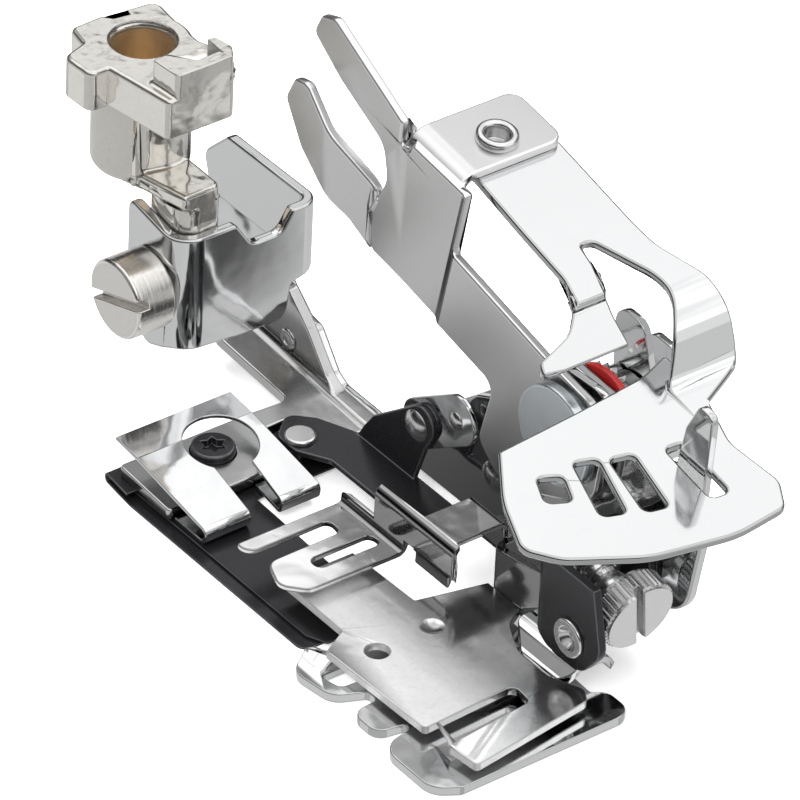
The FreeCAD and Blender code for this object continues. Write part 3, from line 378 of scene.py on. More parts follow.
def drum(radius, length, start, axis, sides=40):
    return turned_piece([(0, 0), (radius, 0), (radius, length), (0, length)], start, axis, sides)


def evaluated_mesh(piece):
    """Mesh of a piece after its modifiers, which are taken off it."""
    mesh = bpy.data.meshes.new_from_object(piece.evaluated_get(bpy.context.evaluated_depsgraph_get()))
    piece.modifiers.clear()
    return mesh


def combined(piece, other, operation):
    """Boolean of two solids: UNION, DIFFERENCE or INTERSECT. The second one is used up."""
    step = piece.modifiers.new("combine", "BOOLEAN")
    step.operation = operation
    step.solver = "EXACT"
    step.object = other
    piece.data = evaluated_mesh(piece)
    bpy.data.objects.remove(other)
    return piece


def fused(piece, *others):
    for other in others:
        piece = combined(piece, other, "UNION")
    return piece


def without(piece, *others):
    for other in others:
        piece = combined(piece, other, "DIFFERENCE")
    return piece


def within(piece, other):
    return combined(piece, other, "INTERSECT")


# The folded sheets, with the outlines that the photograph shows

FRAME_THICK, FRAME_LEFT_X = 1.2, 11.6
FRAME_RIGHT_X, REAR_RIGHT_X = FRAME_LEFT_X + FRAME_THICK, 13.6
CLAMP_LEFT_X, CLAMP_FRONT_Y, CLAMP_TOP_Z, CLAMP_BOTTOM_Z, CLAMP_NOTCH_Z = -3.4, -11.4, -16.0, -28.8, -18.9
LEFT_FLANGE_RISE, LEFT_FLANGE_BACK_Y, RIGHT_FLANGE_TOP_Z = 1.2, -2.8, -16.7
STEP_Z, STEP_Y, BED_Z = -25.2, -12.0, -36.5


def frame_sheet():
    half = FRAME_THICK / 2
    path = [(CLAMP_LEFT_X + half, LEFT_FLANGE_BACK_Y), (CLAMP_LEFT_X + half, CLAMP_FRONT_Y + half, 2.4),
            (REAR_RIGHT_X - half, CLAMP_FRONT_Y + half, 1.5), (REAR_RIGHT_X - half, -8.0)]
    low = CLAMP_BOTTOM_Z - 1.2
    turn_x = CLAMP_LEFT_X + 2.4 + half
    clamp = slab_z(ribbon(path, FRAME_THICK), low, CLAMP_TOP_Z + LEFT_FLANGE_RISE)
    front_view = slab_y([(turn_x - 0.01, CLAMP_TOP_Z), (3.4, CLAMP_TOP_Z, 0.6), (5.3, CLAMP_NOTCH_Z, 1.6),
                         (8.7, CLAMP_NOTCH_Z, 1.3), (10.1, RIGHT_FLANGE_TOP_Z, 0.4),
                         (REAR_RIGHT_X + 1, RIGHT_FLANGE_TOP_Z), (REAR_RIGHT_X + 1, -24.3),
                         (10.2, -25.4, 0.3),
                         (9.8, CLAMP_BOTTOM_Z - 0.5, 1.6), (4.6, CLAMP_BOTTOM_Z - 0.4, 4.0),
                         (turn_x - 0.01, CLAMP_BOTTOM_Z)], CLAMP_FRONT_Y - 1, -7.9)
    side_view = slab_x([(CLAMP_FRONT_Y - 1, CLAMP_BOTTOM_Z), (-9.8, CLAMP_BOTTOM_Z, 2.0), (-6.6, low, 1.2),
                        (-4.4, CLAMP_BOTTOM_Z - 0.4, 1.6), (LEFT_FLANGE_BACK_Y - 0.01, -24.0, 2.0),
                        (LEFT_FLANGE_BACK_Y - 0.01, CLAMP_TOP_Z + LEFT_FLANGE_RISE - 0.01, 1.0),
                        (-9.4, CLAMP_TOP_Z, 4.0), (CLAMP_FRONT_Y - 1, CLAMP_TOP_Z)], CLAMP_LEFT_X - 1, turn_x)
    clamp = within(clamp, fused(front_view, side_view))
    clamp = without(clamp, drum(2.05, 4, Vector((CLAMP_LEFT_X - 1, CLAMP_SCREW_Y, CLAMP_SCREW_Z)), ALONG_X))
    rear = [(REAR_RIGHT_X - half, 0), (REAR_RIGHT_X - half, STEP_Z + 0.9, 0.9),
            (FRAME_RIGHT_X - half, STEP_Z - 0.9, 0.9), (FRAME_RIGHT_X - half, BED_Z - 1)]
    rear = slab_y(ribbon(rear, FRAME_THICK), STEP_Y, 10)
    front = slab_x([(-80, BED_Z - 1), (STEP_Y + 0.01, BED_Z - 1), (STEP_Y + 0.01, 0), (-80, 0)],
                   FRAME_LEFT_X, FRAME_RIGHT_X)
    outline = slab_x([(-9.0, RIGHT_FLANGE_TOP_Z - 0.01), (2.6, RIGHT_FLANGE_TOP_Z - 0.01, 1.2),
                      (6.4, -20.4, 1.5),
                      (4.2, -28.0, 2.0), (-2.5, BED_Z, 2.0), (-44.5, BED_Z, 2.5), (-50.0, -33.0, 4.0),
                      (-62.5, -33.2, 4.0), (-70.6, -28.6, 4.0), (-72.4, -18.0, 3.0), (-66.5, -15.2, 3.0),
                      (-60.2, -12.0, 4.0), (-50.6, -11.4, 4.0), (-41.0, -21.0, 3.0), (-25.2, -34.5, 1.6),
                      (-17.9, -34.4, 1.2), (-16.5, -33.7, 1.0), (-13.5, -29.9, 1.2), (-11.8, -29.7, 1.0),
                      (-8.7, -27.2, 0.8), (-9.0, -24.0)], FRAME_LEFT_X - 1, REAR_RIGHT_X + 1)
    sheet = within(fused(rear, front), outline)
    left = FRAME_LEFT_X - 1
    sheet = without(sheet, drum(STUD_R, 4, Vector((left, STUD_Y, STUD_Z)), ALONG_X),
                    drum(1.0, 4, Vector((left, -41.9, -30.7)), ALONG_X),
                    drum(FOOT_RIVET_R, 4, Vector((left, FOOT_RIVET_Y, FOOT_RIVET_Z)), ALONG_X))
    return fused(clamp, sheet)


ARM_LEFT_X, ARM_THICK, ARM_JOGGLE = 9.3, 1.0, 0.45
BEND_Y, BEND_Z, FLANGE_TILT = -34.58, 1.66, math.radians(8.6)
FLANGE_RIGHT_X, FLANGE_BACK_S, FLANGE_FRONT_S = 22.2, -5.6, 2.4
FLANGE_UP = Vector((0, -math.sin(FLANGE_TILT), math.cos(FLANGE_TILT)))
FLANGE_ON = Vector((0, -math.cos(FLANGE_TILT), -math.sin(FLANGE_TILT)))
PIVOT_X, PIVOT_S = 16.2, -0.6
RIVET_R = 1.5
# The line along which the arm is set over, and its directions ahead and down
CREASE = Vector((0, -36.9, -6.4))
CREASE_ON, CREASE_DOWN = Vector((0, -0.980, -0.198)), Vector((0, 0.198, -0.980))


def flange_point(x, s, d):
    """Point x across, s forward of the bend line and d above the arm flange's top."""
    return Vector((x, BEND_Y, BEND_Z)) + FLANGE_ON * s + FLANGE_UP * d


def flange_slab(corners, low, high):
    return slab(corners, lambda x, s: flange_point(x, s, low), FLANGE_UP * (high - low))


def flange_strip(path, thick, x0, x1):
    """Sheet whose section follows (s, d) points, from x0 to x1."""
    return slab(ribbon(path, thick), lambda s, d: flange_point(x0, s, d), ALONG_X * (x1 - x0))


def arm_sheet():
    outline = slab_x([(-17.6, 8.6, 0.8), (-15.4, 7.9, 0.9), (-14.3, 5.6, 0.9), (-18.7, 2.5, 3.0),
                      (-25.6, -1.0, 2.4), (-26.4, -4.5, 3.0), (-24.3, -9.2), (-24.5, -13.5, 0.6),
                      (-29.2, -14.3, 6.0), (-40.3, -16.7, 6.0), (-44.3, -17.6, 1.5), (-42.5, -24.6, 1.5),
                      (-45.6, -27.2, 2.0), (-51.0, -26.0, 4.0), (-59.8, -22.2, 4.0), (-61.2, -11.8, 4.0),
                      (-52.1, -10.3, 5.0), (-37.0, -6.7, 0.6), (-38.3, 0.2), (-30.1, 1.35), (-29.5, 0.2, 0.5),
                      (-28.2, 0.5, 0.5), (-28.4, 2.95, 0.5)], ARM_LEFT_X - 2, ARM_LEFT_X + 3)
    mid = ARM_LEFT_X + ARM_THICK / 2
    path = [(-40, mid), (-0.3, mid, 0.5), (0.6, mid - ARM_JOGGLE, 0.5), (40, mid - ARM_JOGGLE)]
    sheet = slab(ribbon(path, ARM_THICK),
                 lambda w, x: CREASE + CREASE_ON * w - CREASE_DOWN * 40 + ALONG_X * x, CREASE_DOWN * 80)
    sheet = within(sheet, outline)
    prong = slab_x([(-24.3, -9.2), (-25.4, -7.0, 1.5), (-21.3, -2.6, 3.0), (-16.9, 1.9, 1.0),
                    (-14.9, 1.5, 0.9),
                    (-13.6, -1.2, 1.0), (-16.2, -5.5, 4.0), (-22.4, -10.6, 3.0), (-24.5, -13.5)],
                   ARM_LEFT_X - 5, ARM_LEFT_X + 5)
    out = mid - 2.5
    lean = slab_z(ribbon([(mid, -27), (mid, -24.6, 3.0), (out, -20.4, 3.0), (out, -10)], ARM_THICK), -16, 4)
    half = ARM_THICK / 2
    section = ribbon([(ARM_LEFT_X + half, -4.5), (ARM_LEFT_X + half, -half, 2.0), (FLANGE_RIGHT_X, -half)],
                     ARM_THICK)
    strip = slab(section, lambda x, d: flange_point(x, FLANGE_BACK_S, d),
                 FLANGE_ON * (FLANGE_FRONT_S - FLANGE_BACK_S))
    trim = flange_slab([(ARM_LEFT_X - 1, FLANGE_BACK_S + 0.01),
                        (FLANGE_RIGHT_X - 0.01, FLANGE_BACK_S + 0.01, 1.6),
                        (FLANGE_RIGHT_X - 0.01, FLANGE_FRONT_S - 0.01, 1.6),
                        (ARM_LEFT_X - 1, FLANGE_FRONT_S - 0.01)], -6, 1)
    body = fused(sheet, within(lean, prong), within(strip, trim))
    return without(body, drum(RIVET_R, 4, flange_point(PIVOT_X, PIVOT_S, -2), FLANGE_UP),
                   drum(STUD_R + RUN_GAP, 6, Vector((ARM_LEFT_X - 3, STUD_Y, STUD_Z)), ALONG_X))


SELECTOR_THICK, SELECTOR_DROP, STEP_S, SLOT_CENTRE_R, SLOT_LEAN = 0.9, 7.5, 27.8, 39.6, 5.5
TAB_ANGLE = math.degrees(math.asin((PIVOT_X - 10.8) / SLOT_CENTRE_R))


def selector_slot(angle_deg, length, wide):
    angle, lean = math.radians(angle_deg), math.radians(angle_deg - SLOT_LEAN)
    middle = Vector((PIVOT_X - SLOT_CENTRE_R * math.sin(angle), PIVOT_S + SLOT_CENTRE_R * math.cos(angle)))
    out, side = Vector((-math.sin(lean), math.cos(lean))), Vector((math.cos(lean), math.sin(lean)))
    corners = [(*(middle + out * a * length / 2 + side * b * wide / 2), 0.7)
               for a, b in ((-1, -1), (-1, 1), (1, 1), (1, -1))]
    low = -SELECTOR_DROP - SELECTOR_THICK - 1
    return flange_slab(corners, low, low + SELECTOR_THICK + 2)


def selector_sheet():
    mid = -ARM_THICK - RUN_GAP - SELECTOR_THICK / 2
    low = -SELECTOR_DROP - SELECTOR_THICK / 2
    sheet = flange_strip([(-8, mid), (STEP_S - 2.2, mid, 5.0), (STEP_S + 0.8, low, 2.4), (STEP_S + 30, low)],
                         SELECTOR_THICK, -12, 30)
    leg = flange_slab([(11.6, -4.2, 1.0), (22.4, -4.2, 1.0), (22.2, 2.0, 30.0), (21.4, 14.0, 12.0),
                       (21.4, 17.4, 6.0), (22.9, 22.6, 8.0), (23.6, 28.9, 1.6), (17.4, 31.9, 0.8),
                       (16.1, 35.5),
                       (15.0, 35.5), (15.0, 29.0), (16.1, 27.6, 2.0), (19.2, 22.4, 6.0), (16.2, 14.3, 0.9),
                       (14.9, 14.3, 0.5), (14.3, 17.0, 3.0), (12.9, 20.8), (9.5, 20.8), (10.6, 17.2, 4.0),
                       (11.1, 10.6, 9.0), (11.9, 2.0)], -12, 2)
    half = SELECTOR_THICK / 2
    sector = flange_slab([(-3.9, 27.9, 0.5), (5.7, 27.1), (14.2, 26.2, 6.0), (17.9, 24.8, 0.4),
                          (18.2, 30.4),
                          (17.6, 31.9, 1.5), (15.9, 37.2, 4.0), (16.8, 43.4, 2.4), (15.0, 46.5, 1.4),
                          (8.9, 47.2, 12.0), (-0.1, 45.7, 12.0), (-7.4, 42.1, 5.0), (-9.9, 39.2, 1.8),
                          (-7.6, 33.3, 14.0)], low - half + 0.002, low + half - 0.002)
    tongue = flange_strip([(18.0, mid), (20.4, mid, 3.0), (24.4, mid - 3.4)], SELECTOR_THICK - 0.004, -2, 20)
    tongue_plan = flange_slab([(10.36, 18.0), (9.2, 20.6, 2.5), (7.6, 22.3, 3.0), (3.5, 23.4, 0.6),
                               (3.4, 24.4), (13.6, 25.6), (12.9, 22.2, 3.0), (12.9, 20.8), (14.2, 18.0)],
                              -8, 2)
    body = fused(within(sheet, leg), sector, within(tongue, tongue_plan))
    return without(body, drum(RIVET_R + RUN_GAP, 4, flange_point(PIVOT_X, PIVOT_S, -4), FLANGE_UP),
                   selector_slot(28.0, 3.3, 2.5), selector_slot(21.9, 7.2, 2.5),
                   selector_slot(16.4, 7.2, 2.5), selector_slot(TAB_ANGLE, 7.2, 2.1))


FOOT_THICK, FOOT_BACK_Y, FOOT_Z, FOOT_SLOPE, FOLD_R = 1.2, -4.5, -33.4, math.radians(3.6), 1.1


def foot_level(y):
    return FOOT_Z + (y - FOOT_BACK_Y) * math.tan(FOOT_SLOPE)


def foot_sheet():
    half = FOOT_THICK / 2
    section = ribbon([(FOOT_BACK_Y, foot_level(FOOT_BACK_Y) - half), (-24.8, foot_level(-24.8) - half)],
                     FOOT_THICK)
    flange = slab_x(section, -13.9, FRAME_LEFT_X - 0.01)
    plan = slab_z([(FRAME_LEFT_X, FOOT_BACK_Y - 0.02), (6.05, FOOT_BACK_Y - 0.02, 0.8), (6.05, -16.9, 0.9),
                   (1.5, -16.6), (-13.8, -16.6, 0.5), (-13.8, -24.78, 0.5), (0.2, -24.78, 0.5),
                   (0.9, -19.3, 1.0),
                   (4.4, -19.3, 1.8), (7.2, -22.6, 1.8), (7.6, -24.6, 0.6), (FRAME_LEFT_X, -24.6)], -40, -30)
    flange = within(flange, plan)
    side = [(FOOT_BACK_Y, foot_level(FOOT_BACK_Y) - FOOT_THICK), (-2.4, -33.0, 0.6), (-1.0, -26.4, 1.0),
            (-10.6, -26.4, 0.8), (-13.9, -29.3, 3.0), (-17.0, -33.0, 2.0), (-18.8, -34.05, 1.5),
            (-24.6, foot_level(-24.6) + 0.3), (-24.6, foot_level(-24.6) - FOOT_THICK)]
    left = FRAME_LEFT_X - FOOT_THICK
    wall = slab_x(side, left, FRAME_LEFT_X)
    corner = [(left - FOLD_R, FOOT_Z - 0.2), (left + 0.1, FOOT_Z - 0.2), (left + 0.1, FOOT_Z + FOLD_R)]
    corner += [(left - FOLD_R + FOLD_R * math.cos(turn), FOOT_Z + FOLD_R - FOLD_R * math.sin(turn))
               for turn in (k * math.pi / 12 for k in range(7))]
    run = 20.1
    fold = slab(corner, lambda x, z: Vector((x, FOOT_BACK_Y, z)),
                Vector((0, -run, -run * math.tan(FOOT_SLOPE))))
    fold = within(fold, slab_x(side, left - FOLD_R - 1, FRAME_LEFT_X))
    return without(fused(flange, wall, fold), drum(2.2, 6, Vector((-4.8, -19.5, -38)), Vector((0, 0, 1))),
                   drum(FOOT_RIVET_R, 3, Vector((FRAME_LEFT_X - 2, FOOT_RIVET_Y, FOOT_RIVET_Z)), ALONG_X),
                   drum(1.25, FOLD_R, Vector((left - FOLD_R, FOOT_RIVET_Y, FOOT_RIVET_Z)), ALONG_X))


def flange_rivet():
    """Tubular rivet: a rolled ring on the flange, a shoulder under the selector plate."""
    under = ARM_THICK + 2 * RUN_GAP + SELECTOR_THICK
    roll = [(1.2 + 0.45 * (1 - math.cos(k * math.pi / 6)), 0.45 + 0.45 * math.sin(k * math.pi / 6))
            for k in range(7)]
    profile = [(0, -0.9), (1.2, -0.9)] + roll + [(2.1, 0.0), (RIVET_R, 0.0), (RIVET_R, -under), (2.1, -under),
                                                 (2.1, -under - 0.8), (1.9, -under - 1.0), (0, -under - 1.0)]
    return turned_piece(profile, flange_point(PIVOT_X, PIVOT_S, 0), FLANGE_UP)


def small_rivet():
    left = FRAME_LEFT_X - FOOT_THICK
    profile = [(0, -0.1), (0.55, -0.1), (0.6, -0.25), (1.0, -0.25), (1.2, -0.1), (1.2, 0.0),
               (FOOT_RIVET_R, 0.0), (FOOT_RIVET_R, FOOT_THICK + FRAME_THICK), (0, FOOT_THICK + FRAME_THICK)]
    return turned_piece(profile, Vector((left, FOOT_RIVET_Y, FOOT_RIVET_Z)), ALONG_X, 32)


# Knurled screw, made by a node tree

KNOB_FACE, KNOB_TILT, KNOB_SLOT_TURN = Vector((6.5, -70.4, -27.4)), math.radians(12.5), math.radians(-14)


def knurled_screw_tree():
    """Head with ridges along its rim, on a threaded shank, along +Z from the head's face."""
    tree = bpy.data.node_groups.new("knurled_screw", "GeometryNodeTree")
    values = [("Head Radius", 3.9), ("Head Length", 2.8), ("Rim Ease", 0.35), ("Ridge Depth", 0.22),
              ("Shank Radius", 1.6), ("Shank Length", 11.0), ("Thread Pitch", 0.75), ("Thread Depth", 0.28),
              ("Slot Width", 1.0), ("Slot Depth", 1.0)]
    for label, value in values:
        socket = tree.interface.new_socket(label, in_out="INPUT", socket_type="NodeSocketFloat")
        socket.default_value = value * MM
    ridges = tree.interface.new_socket("Ridges", in_out="INPUT", socket_type="NodeSocketInt")
    ridges.default_value = 44
    tree.interface.new_socket("Metal", in_out="INPUT", socket_type="NodeSocketMaterial")
    tree.interface.new_socket("Geometry", in_out="OUTPUT", socket_type="NodeSocketGeometry")
    link, put = tree.links.new, tree.nodes.new
    entry, leave = put("NodeGroupInput"), put("NodeGroupOutput")
    inputs = entry.outputs

    def along(low, high):
        """Straight path on Z between two heights."""
        ends = []
        for height in (low, high):
            spot = put("ShaderNodeCombineXYZ")
            link(height, spot.inputs["Z"])
            ends.append(spot.outputs[0])
        line = put("GeometryNodeCurvePrimitiveLine")
        link(ends[0], line.inputs["Start"])
        link(ends[1], line.inputs["End"])
        return line.outputs[0]

    def swept(path, section):
        solid = put("GeometryNodeCurveToMesh")
        solid.inputs["Fill Caps"].default_value = True
        link(path, solid.inputs["Curve"])
        link(section, solid.inputs["Profile Curve"])
        return solid.outputs[0]

    def circle(radius, sides):
        ring = put("GeometryNodeCurvePrimitiveCircle")
        link(radius, ring.inputs["Radius"])
        if hasattr(sides, "links"):
            link(sides, ring.inputs["Resolution"])
        else:
            ring.inputs["Resolution"].default_value = sides
        return ring.outputs[0]

    # Every third point of the rim's section is pulled in, which leaves flat-topped ridges
    rim = circle(inputs["Head Radius"], mathed(tree, "MULTIPLY", inputs["Ridges"], 3.0))
    index, spot, pull, scaled, moved = (put(kind) for kind in (
        "GeometryNodeInputIndex", "GeometryNodeInputPosition", "ShaderNodeVectorMath", "ShaderNodeVectorMath",
        "GeometryNodeSetPosition"))
    third = mathed(tree, "LESS_THAN", mathed(tree, "MODULO", index.outputs[0], 3.0), 0.5)
    pull.operation = "NORMALIZE"
    scaled.operation = "SCALE"
    link(spot.outputs[0], pull.inputs[0])
    link(pull.outputs[0], scaled.inputs[0])
    link(mathed(tree, "MULTIPLY", mathed(tree, "MULTIPLY", third, inputs["Ridge Depth"]), -1.0),
         scaled.inputs["Scale"])
    link(rim, moved.inputs["Geometry"])
    link(scaled.outputs[0], moved.inputs["Offset"])
    ease = inputs["Rim Ease"]
    top = mathed(tree, "SUBTRACT", inputs["Head Length"], ease)
    ridged = swept(along(ease, top), moved.outputs[0])
    core_r = mathed(tree, "SUBTRACT", inputs["Head Radius"],
                    mathed(tree, "MULTIPLY", inputs["Ridge Depth"], 1.2))
    # A socket that gives 0, as both ends of a path have to be sockets
    zero = mathed(tree, "MULTIPLY", ease, 0.0)
    core = swept(along(zero, inputs["Head Length"]), circle(core_r, 96))
    block, size = put("GeometryNodeMeshCube"), put("ShaderNodeCombineXYZ")
    turned = put("GeometryNodeTransform")
    link(inputs["Slot Width"], size.inputs["X"])
    link(mathed(tree, "MULTIPLY", inputs["Head Radius"], 3.0), size.inputs["Y"])
    link(mathed(tree, "MULTIPLY", inputs["Slot Depth"], 2.0), size.inputs["Z"])
    link(size.outputs[0], block.inputs["Size"])
    link(block.outputs[0], turned.inputs["Geometry"])
    turned.inputs["Rotation"].default_value = (0, 0, KNOB_SLOT_TURN)

    def slotted(solid):
        cut = put("GeometryNodeMeshBoolean")
        cut.operation = "DIFFERENCE"
        link(solid, cut.inputs[0])
        link(turned.outputs[0], cut.inputs[1])
        return cut.outputs[0]

    end = mathed(tree, "ADD", inputs["Head Length"], inputs["Shank Length"])
    root_r = mathed(tree, "SUBTRACT", inputs["Shank Radius"], inputs["Thread Depth"])
    root = swept(along(top, end), circle(root_r, 32))
    turns = mathed(tree, "DIVIDE", inputs["Shank Length"], inputs["Thread Pitch"])
    spiral = put("GeometryNodeCurveSpiral")
    spiral.inputs["Resolution"].default_value = 28
    link(turns, spiral.inputs["Rotations"])
    link(root_r, spiral.inputs["Start Radius"])
    link(root_r, spiral.inputs["End Radius"])
    link(mathed(tree, "SUBTRACT", inputs["Shank Length"], inputs["Thread Pitch"]), spiral.inputs["Height"])
    raised = put("GeometryNodeTransform")
    lift = put("ShaderNodeCombineXYZ")
    link(inputs["Head Length"], lift.inputs["Z"])
    link(spiral.outputs[0], raised.inputs["Geometry"])
    link(lift.outputs[0], raised.inputs["Translation"])
    thread = swept(raised.outputs[0], circle(inputs["Thread Depth"], 4))
    together = put("GeometryNodeJoinGeometry")
    for part in (slotted(ridged), slotted(core), root, thread):
        link(part, together.inputs[0])
    real, painted = put("GeometryNodeRealizeInstances"), put("GeometryNodeSetMaterial")
    link(together.outputs[0], real.inputs[0])
    link(real.outputs[0], painted.inputs["Geometry"])
    link(inputs["Metal"], painted.inputs["Material"])
    link(painted.outputs[0], leave.inputs[0])
    return tree


def adjusting_screw():
    tree = knurled_screw_tree()
    piece = bpy.data.objects.new("adjusting_screw_plated", bpy.data.meshes.new("adjusting_screw_plated"))
    scene.collection.objects.link(piece)
    grow = piece.modifiers.new("knurled_screw", "NODES")
    grow.node_group = tree
    for item in tree.interface.items_tree:
        if item.item_type == "SOCKET" and item.in_out == "INPUT" and item.name == "Metal":
            grow[item.identifier] = knob_steel
    mesh = evaluated_mesh(piece)
    axis = Vector((0, math.cos(KNOB_TILT), math.sin(KNOB_TILT)))
    up = Vector((0, -math.sin(KNOB_TILT), math.cos(KNOB_TILT)))
    side = up.cross(axis)
    mesh.transform(Matrix.Translation(KNOB_FACE * MM) @ Matrix((side, up, axis)).transposed().to_4x4())
    piece.data = mesh
    return piece


# Rolled edges and plating

# Widths of the rolled edges in mm, and of every piece that isn't listed
PLAIN_EDGE = 0.1
rolled_edge = {
    "shank_adapter": 0.45, "frame_bracket": 0.3, "fork_arm": 0.3, "selector_plate": 0.3, "base_plate": 0.12,
    "lower_guide": 0.25, "comb_guide": 0.16, "sole_spring": 0.1, "foot_plate": 0.2, "separator_blade": 0.06,
    "ruffling_blade": 0.05, "blade_carrier": 0.14, "ratchet_wheel": 0.05, "cam_disc": 0.12, "side_roll": 0.12,
    "sole_screw": 0.08, "foot_rivet": 0.05, "drive_lever": 0.18, "arm_rivet": 0.06}
remade = {"frame_bracket": frame_sheet, "fork_arm": arm_sheet, "selector_plate": selector_sheet,
          "foot_plate": foot_sheet, "arm_rivet": flange_rivet, "foot_rivet": small_rivet}
# Points nearer than this are one point, and faces that turn less than this are one face
SAME_POINT, SAME_FACE = 0.03 * MM, math.radians(0.6)
# An edge is rolled where its faces turn more than this
SHARP_TURN = math.radians(35)
# A rolled point stays where it is up to this share of the roll's width from the surface
STRAY_SHARE = 0.45


def merged(work):
    bmesh.ops.remove_doubles(work, verts=work.verts, dist=SAME_POINT)
    bmesh.ops.dissolve_limit(work, angle_limit=SAME_FACE, verts=work.verts, edges=work.edges, delimit=set())


def solid_copy(name):
    """Copy of a CAD solid, its triangles merged into one face for each flat."""
    work = bmesh.new()
    work.from_mesh(frame["nodes"][name].data)
    merged(work)
    mesh = bpy.data.meshes.new(name)
    work.to_mesh(mesh)
    work.free()
    piece = bpy.data.objects.new(name, mesh)
    scene.collection.objects.link(piece)
    return piece


def rolled(piece, name, width):
    """Sharp edges rolled over, with flat faces kept flat in the shading."""
    work = bmesh.new()
    work.from_mesh(piece.data)
    merged(work)
    for face in work.faces:
        face.smooth = True
    surface = BVHTree.FromBMesh(work)
    work.to_mesh(piece.data)
    work.free()
    piece.data.materials.clear()
    roll = piece.modifiers.new("roll", "BEVEL")
    roll.width = width * MM
    roll.segments = 3
    roll.limit_method = "ANGLE"
    roll.angle_limit = SHARP_TURN
    roll.use_clamp_overlap = False
    flat = piece.modifiers.new("flat", "WEIGHTED_NORMAL")
    flat.mode = "FACE_AREA"
    flat.weight = 50
    finished = evaluated_mesh(piece)
    # Where three rolled edges meet in a tight corner, a point may shoot out: it goes back on the surface
    for vert in finished.vertices:
        near = surface.find_nearest(vert.co)
        if near[3] > STRAY_SHARE * width * MM:
            vert.co = near[0]
    piece.data = finished
    piece.name = name + "_plated"
    piece.data.name = piece.name
    mark_painted_edges(piece.data, 2.5 * width * MM)
    return piece


def mark_painted_edges(mesh, small):
    """Face attribute that is 1 on the narrow faces of the rolled edges, where the materials paint their edge
    tone: painted highlight on some materials and painted shade on others.
    """
    marks = mesh.attributes.new("painted_edge_tone", "FLOAT", "FACE")
    values = []
    for face in mesh.polygons:
        spots = [mesh.vertices[i].co for i in face.vertices]
        sides = [(spots[i] - spots[i - 1]).length for i in range(len(spots))]
        narrow = len(sides) <= 4 and min(sides) < small * 0.4
        values.append(1.0 if narrow else 0.0)
    marks.data.foreach_set("value", values)


def move_head(piece, past_x, shift):
    """Stud head carried along with the arm's set-over front part."""
    for vert in piece.data.vertices:
        if vert.co.x < past_x * MM:
            vert.co.x += shift * MM


def mark_painted_crease(mesh):
    """Face attribute that is 1 along the arm's set-over line, for a painted shade: a dark band in place of
    the dark room that the bend mirrors.
    """
    marks = mesh.attributes.new("painted_crease_band", "FLOAT", "FACE")
    values = []
    for face in mesh.polygons:
        spot = face.center / MM
        near = -1.2 < (Vector((0, spot.y, spot.z)) - CREASE).dot(CREASE_ON) < 1.4
        tilted = 0.5 < abs(face.normal.x) < 0.995
        values.append(1.0 if near and tilted and -18 < spot.z < 0 else 0.0)
    marks.data.foreach_set("value", values)


special = {"clamp_screw": clamp_face, "pivot_stud": stud_face, "adjusting_screw": knob_steel,
           "selector_plate": smooth_chrome, "foot_plate": dull_chrome, "comb_guide": comb_chrome,
           "base_plate": table_chrome}
# Faces nearer the bar's axis and lower than these are the bore's, in mm
BORE_WALL_R, BORE_TOP_Z = 3.2, -0.4
for name in frame["nodes"]:
    width = rolled_edge.get(name, PLAIN_EDGE)
    if name == "adjusting_screw":
        piece = adjusting_screw()
        for face in piece.data.polygons:
            face.use_smooth = True
        piece.data.set_sharp_from_angle(angle=math.radians(25))
        mark_painted_edges(piece.data, 0.0)
    else:
        piece = remade[name]() if name in remade else solid_copy(name)
        if name == "pivot_stud":
            move_head(piece, ARM_LEFT_X - 0.01, -ARM_JOGGLE)
        piece = rolled(piece, name, width)
        if name == "fork_arm":
            mark_painted_crease(piece.data)
    piece.data.materials.clear()
    piece.data.materials.append(special.get(name, finish_of_slot[slot_of_node[name]]))
    if name == "shank_adapter":
        piece.data.materials.append(brass)
        for face in piece.data.polygons:
            middle = face.center
            if math.hypot(middle.x, middle.y) < BORE_WALL_R * MM and middle.z < BORE_TOP_Z * MM:
                face.material_index = 1
    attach(piece, body_of_node[name])
    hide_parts(name)


# Camera, floor and studio

def aim(camera, right, up, back, place):
    camera.matrix_world = Matrix((
        (right[0], up[0], back[0], place[0]),
        (right[1], up[1], back[1], place[1]),
        (right[2], up[2], back[2], place[2]),
        (0, 0, 0, 1)))


PHOTO_PX = 800
focal_px, distance, origin_px = 7350.0, 0.7, (143.0, 42.0)
lens = bpy.data.cameras.new("photo_camera")
lens.sensor_width = 36.0
lens.lens = focal_px * lens.sensor_width / PHOTO_PX
lens.clip_end = 20.0
lens.clip_start = 0.01
camera = bpy.data.objects.new("photo_camera", lens)
scene.collection.objects.link(camera)
azimuth, elevation, lean = (math.radians(a) for a in (37.2, 37.2, 3.0))
right = Vector((math.cos(azimuth), -math.sin(azimuth), 0.0))
up = Vector((math.sin(azimuth) * math.sin(elevation), math.cos(azimuth) * math.sin(elevation),
             math.cos(elevation)))
tilt = Matrix.Rotation(-lean, 3, "Y")
right, up = tilt @ right, tilt @ up
back = right.cross(up)
# Where the part's origin lies in the picture
offset = Vector(((origin_px[0] - PHOTO_PX / 2) / focal_px * distance,
                 -(origin_px[1] - PHOTO_PX / 2) / focal_px * distance, -distance))
place = -(right * offset[0] + up * offset[1] + back * offset[2])
aim(camera, right, up, back, place)
scene.camera = camera

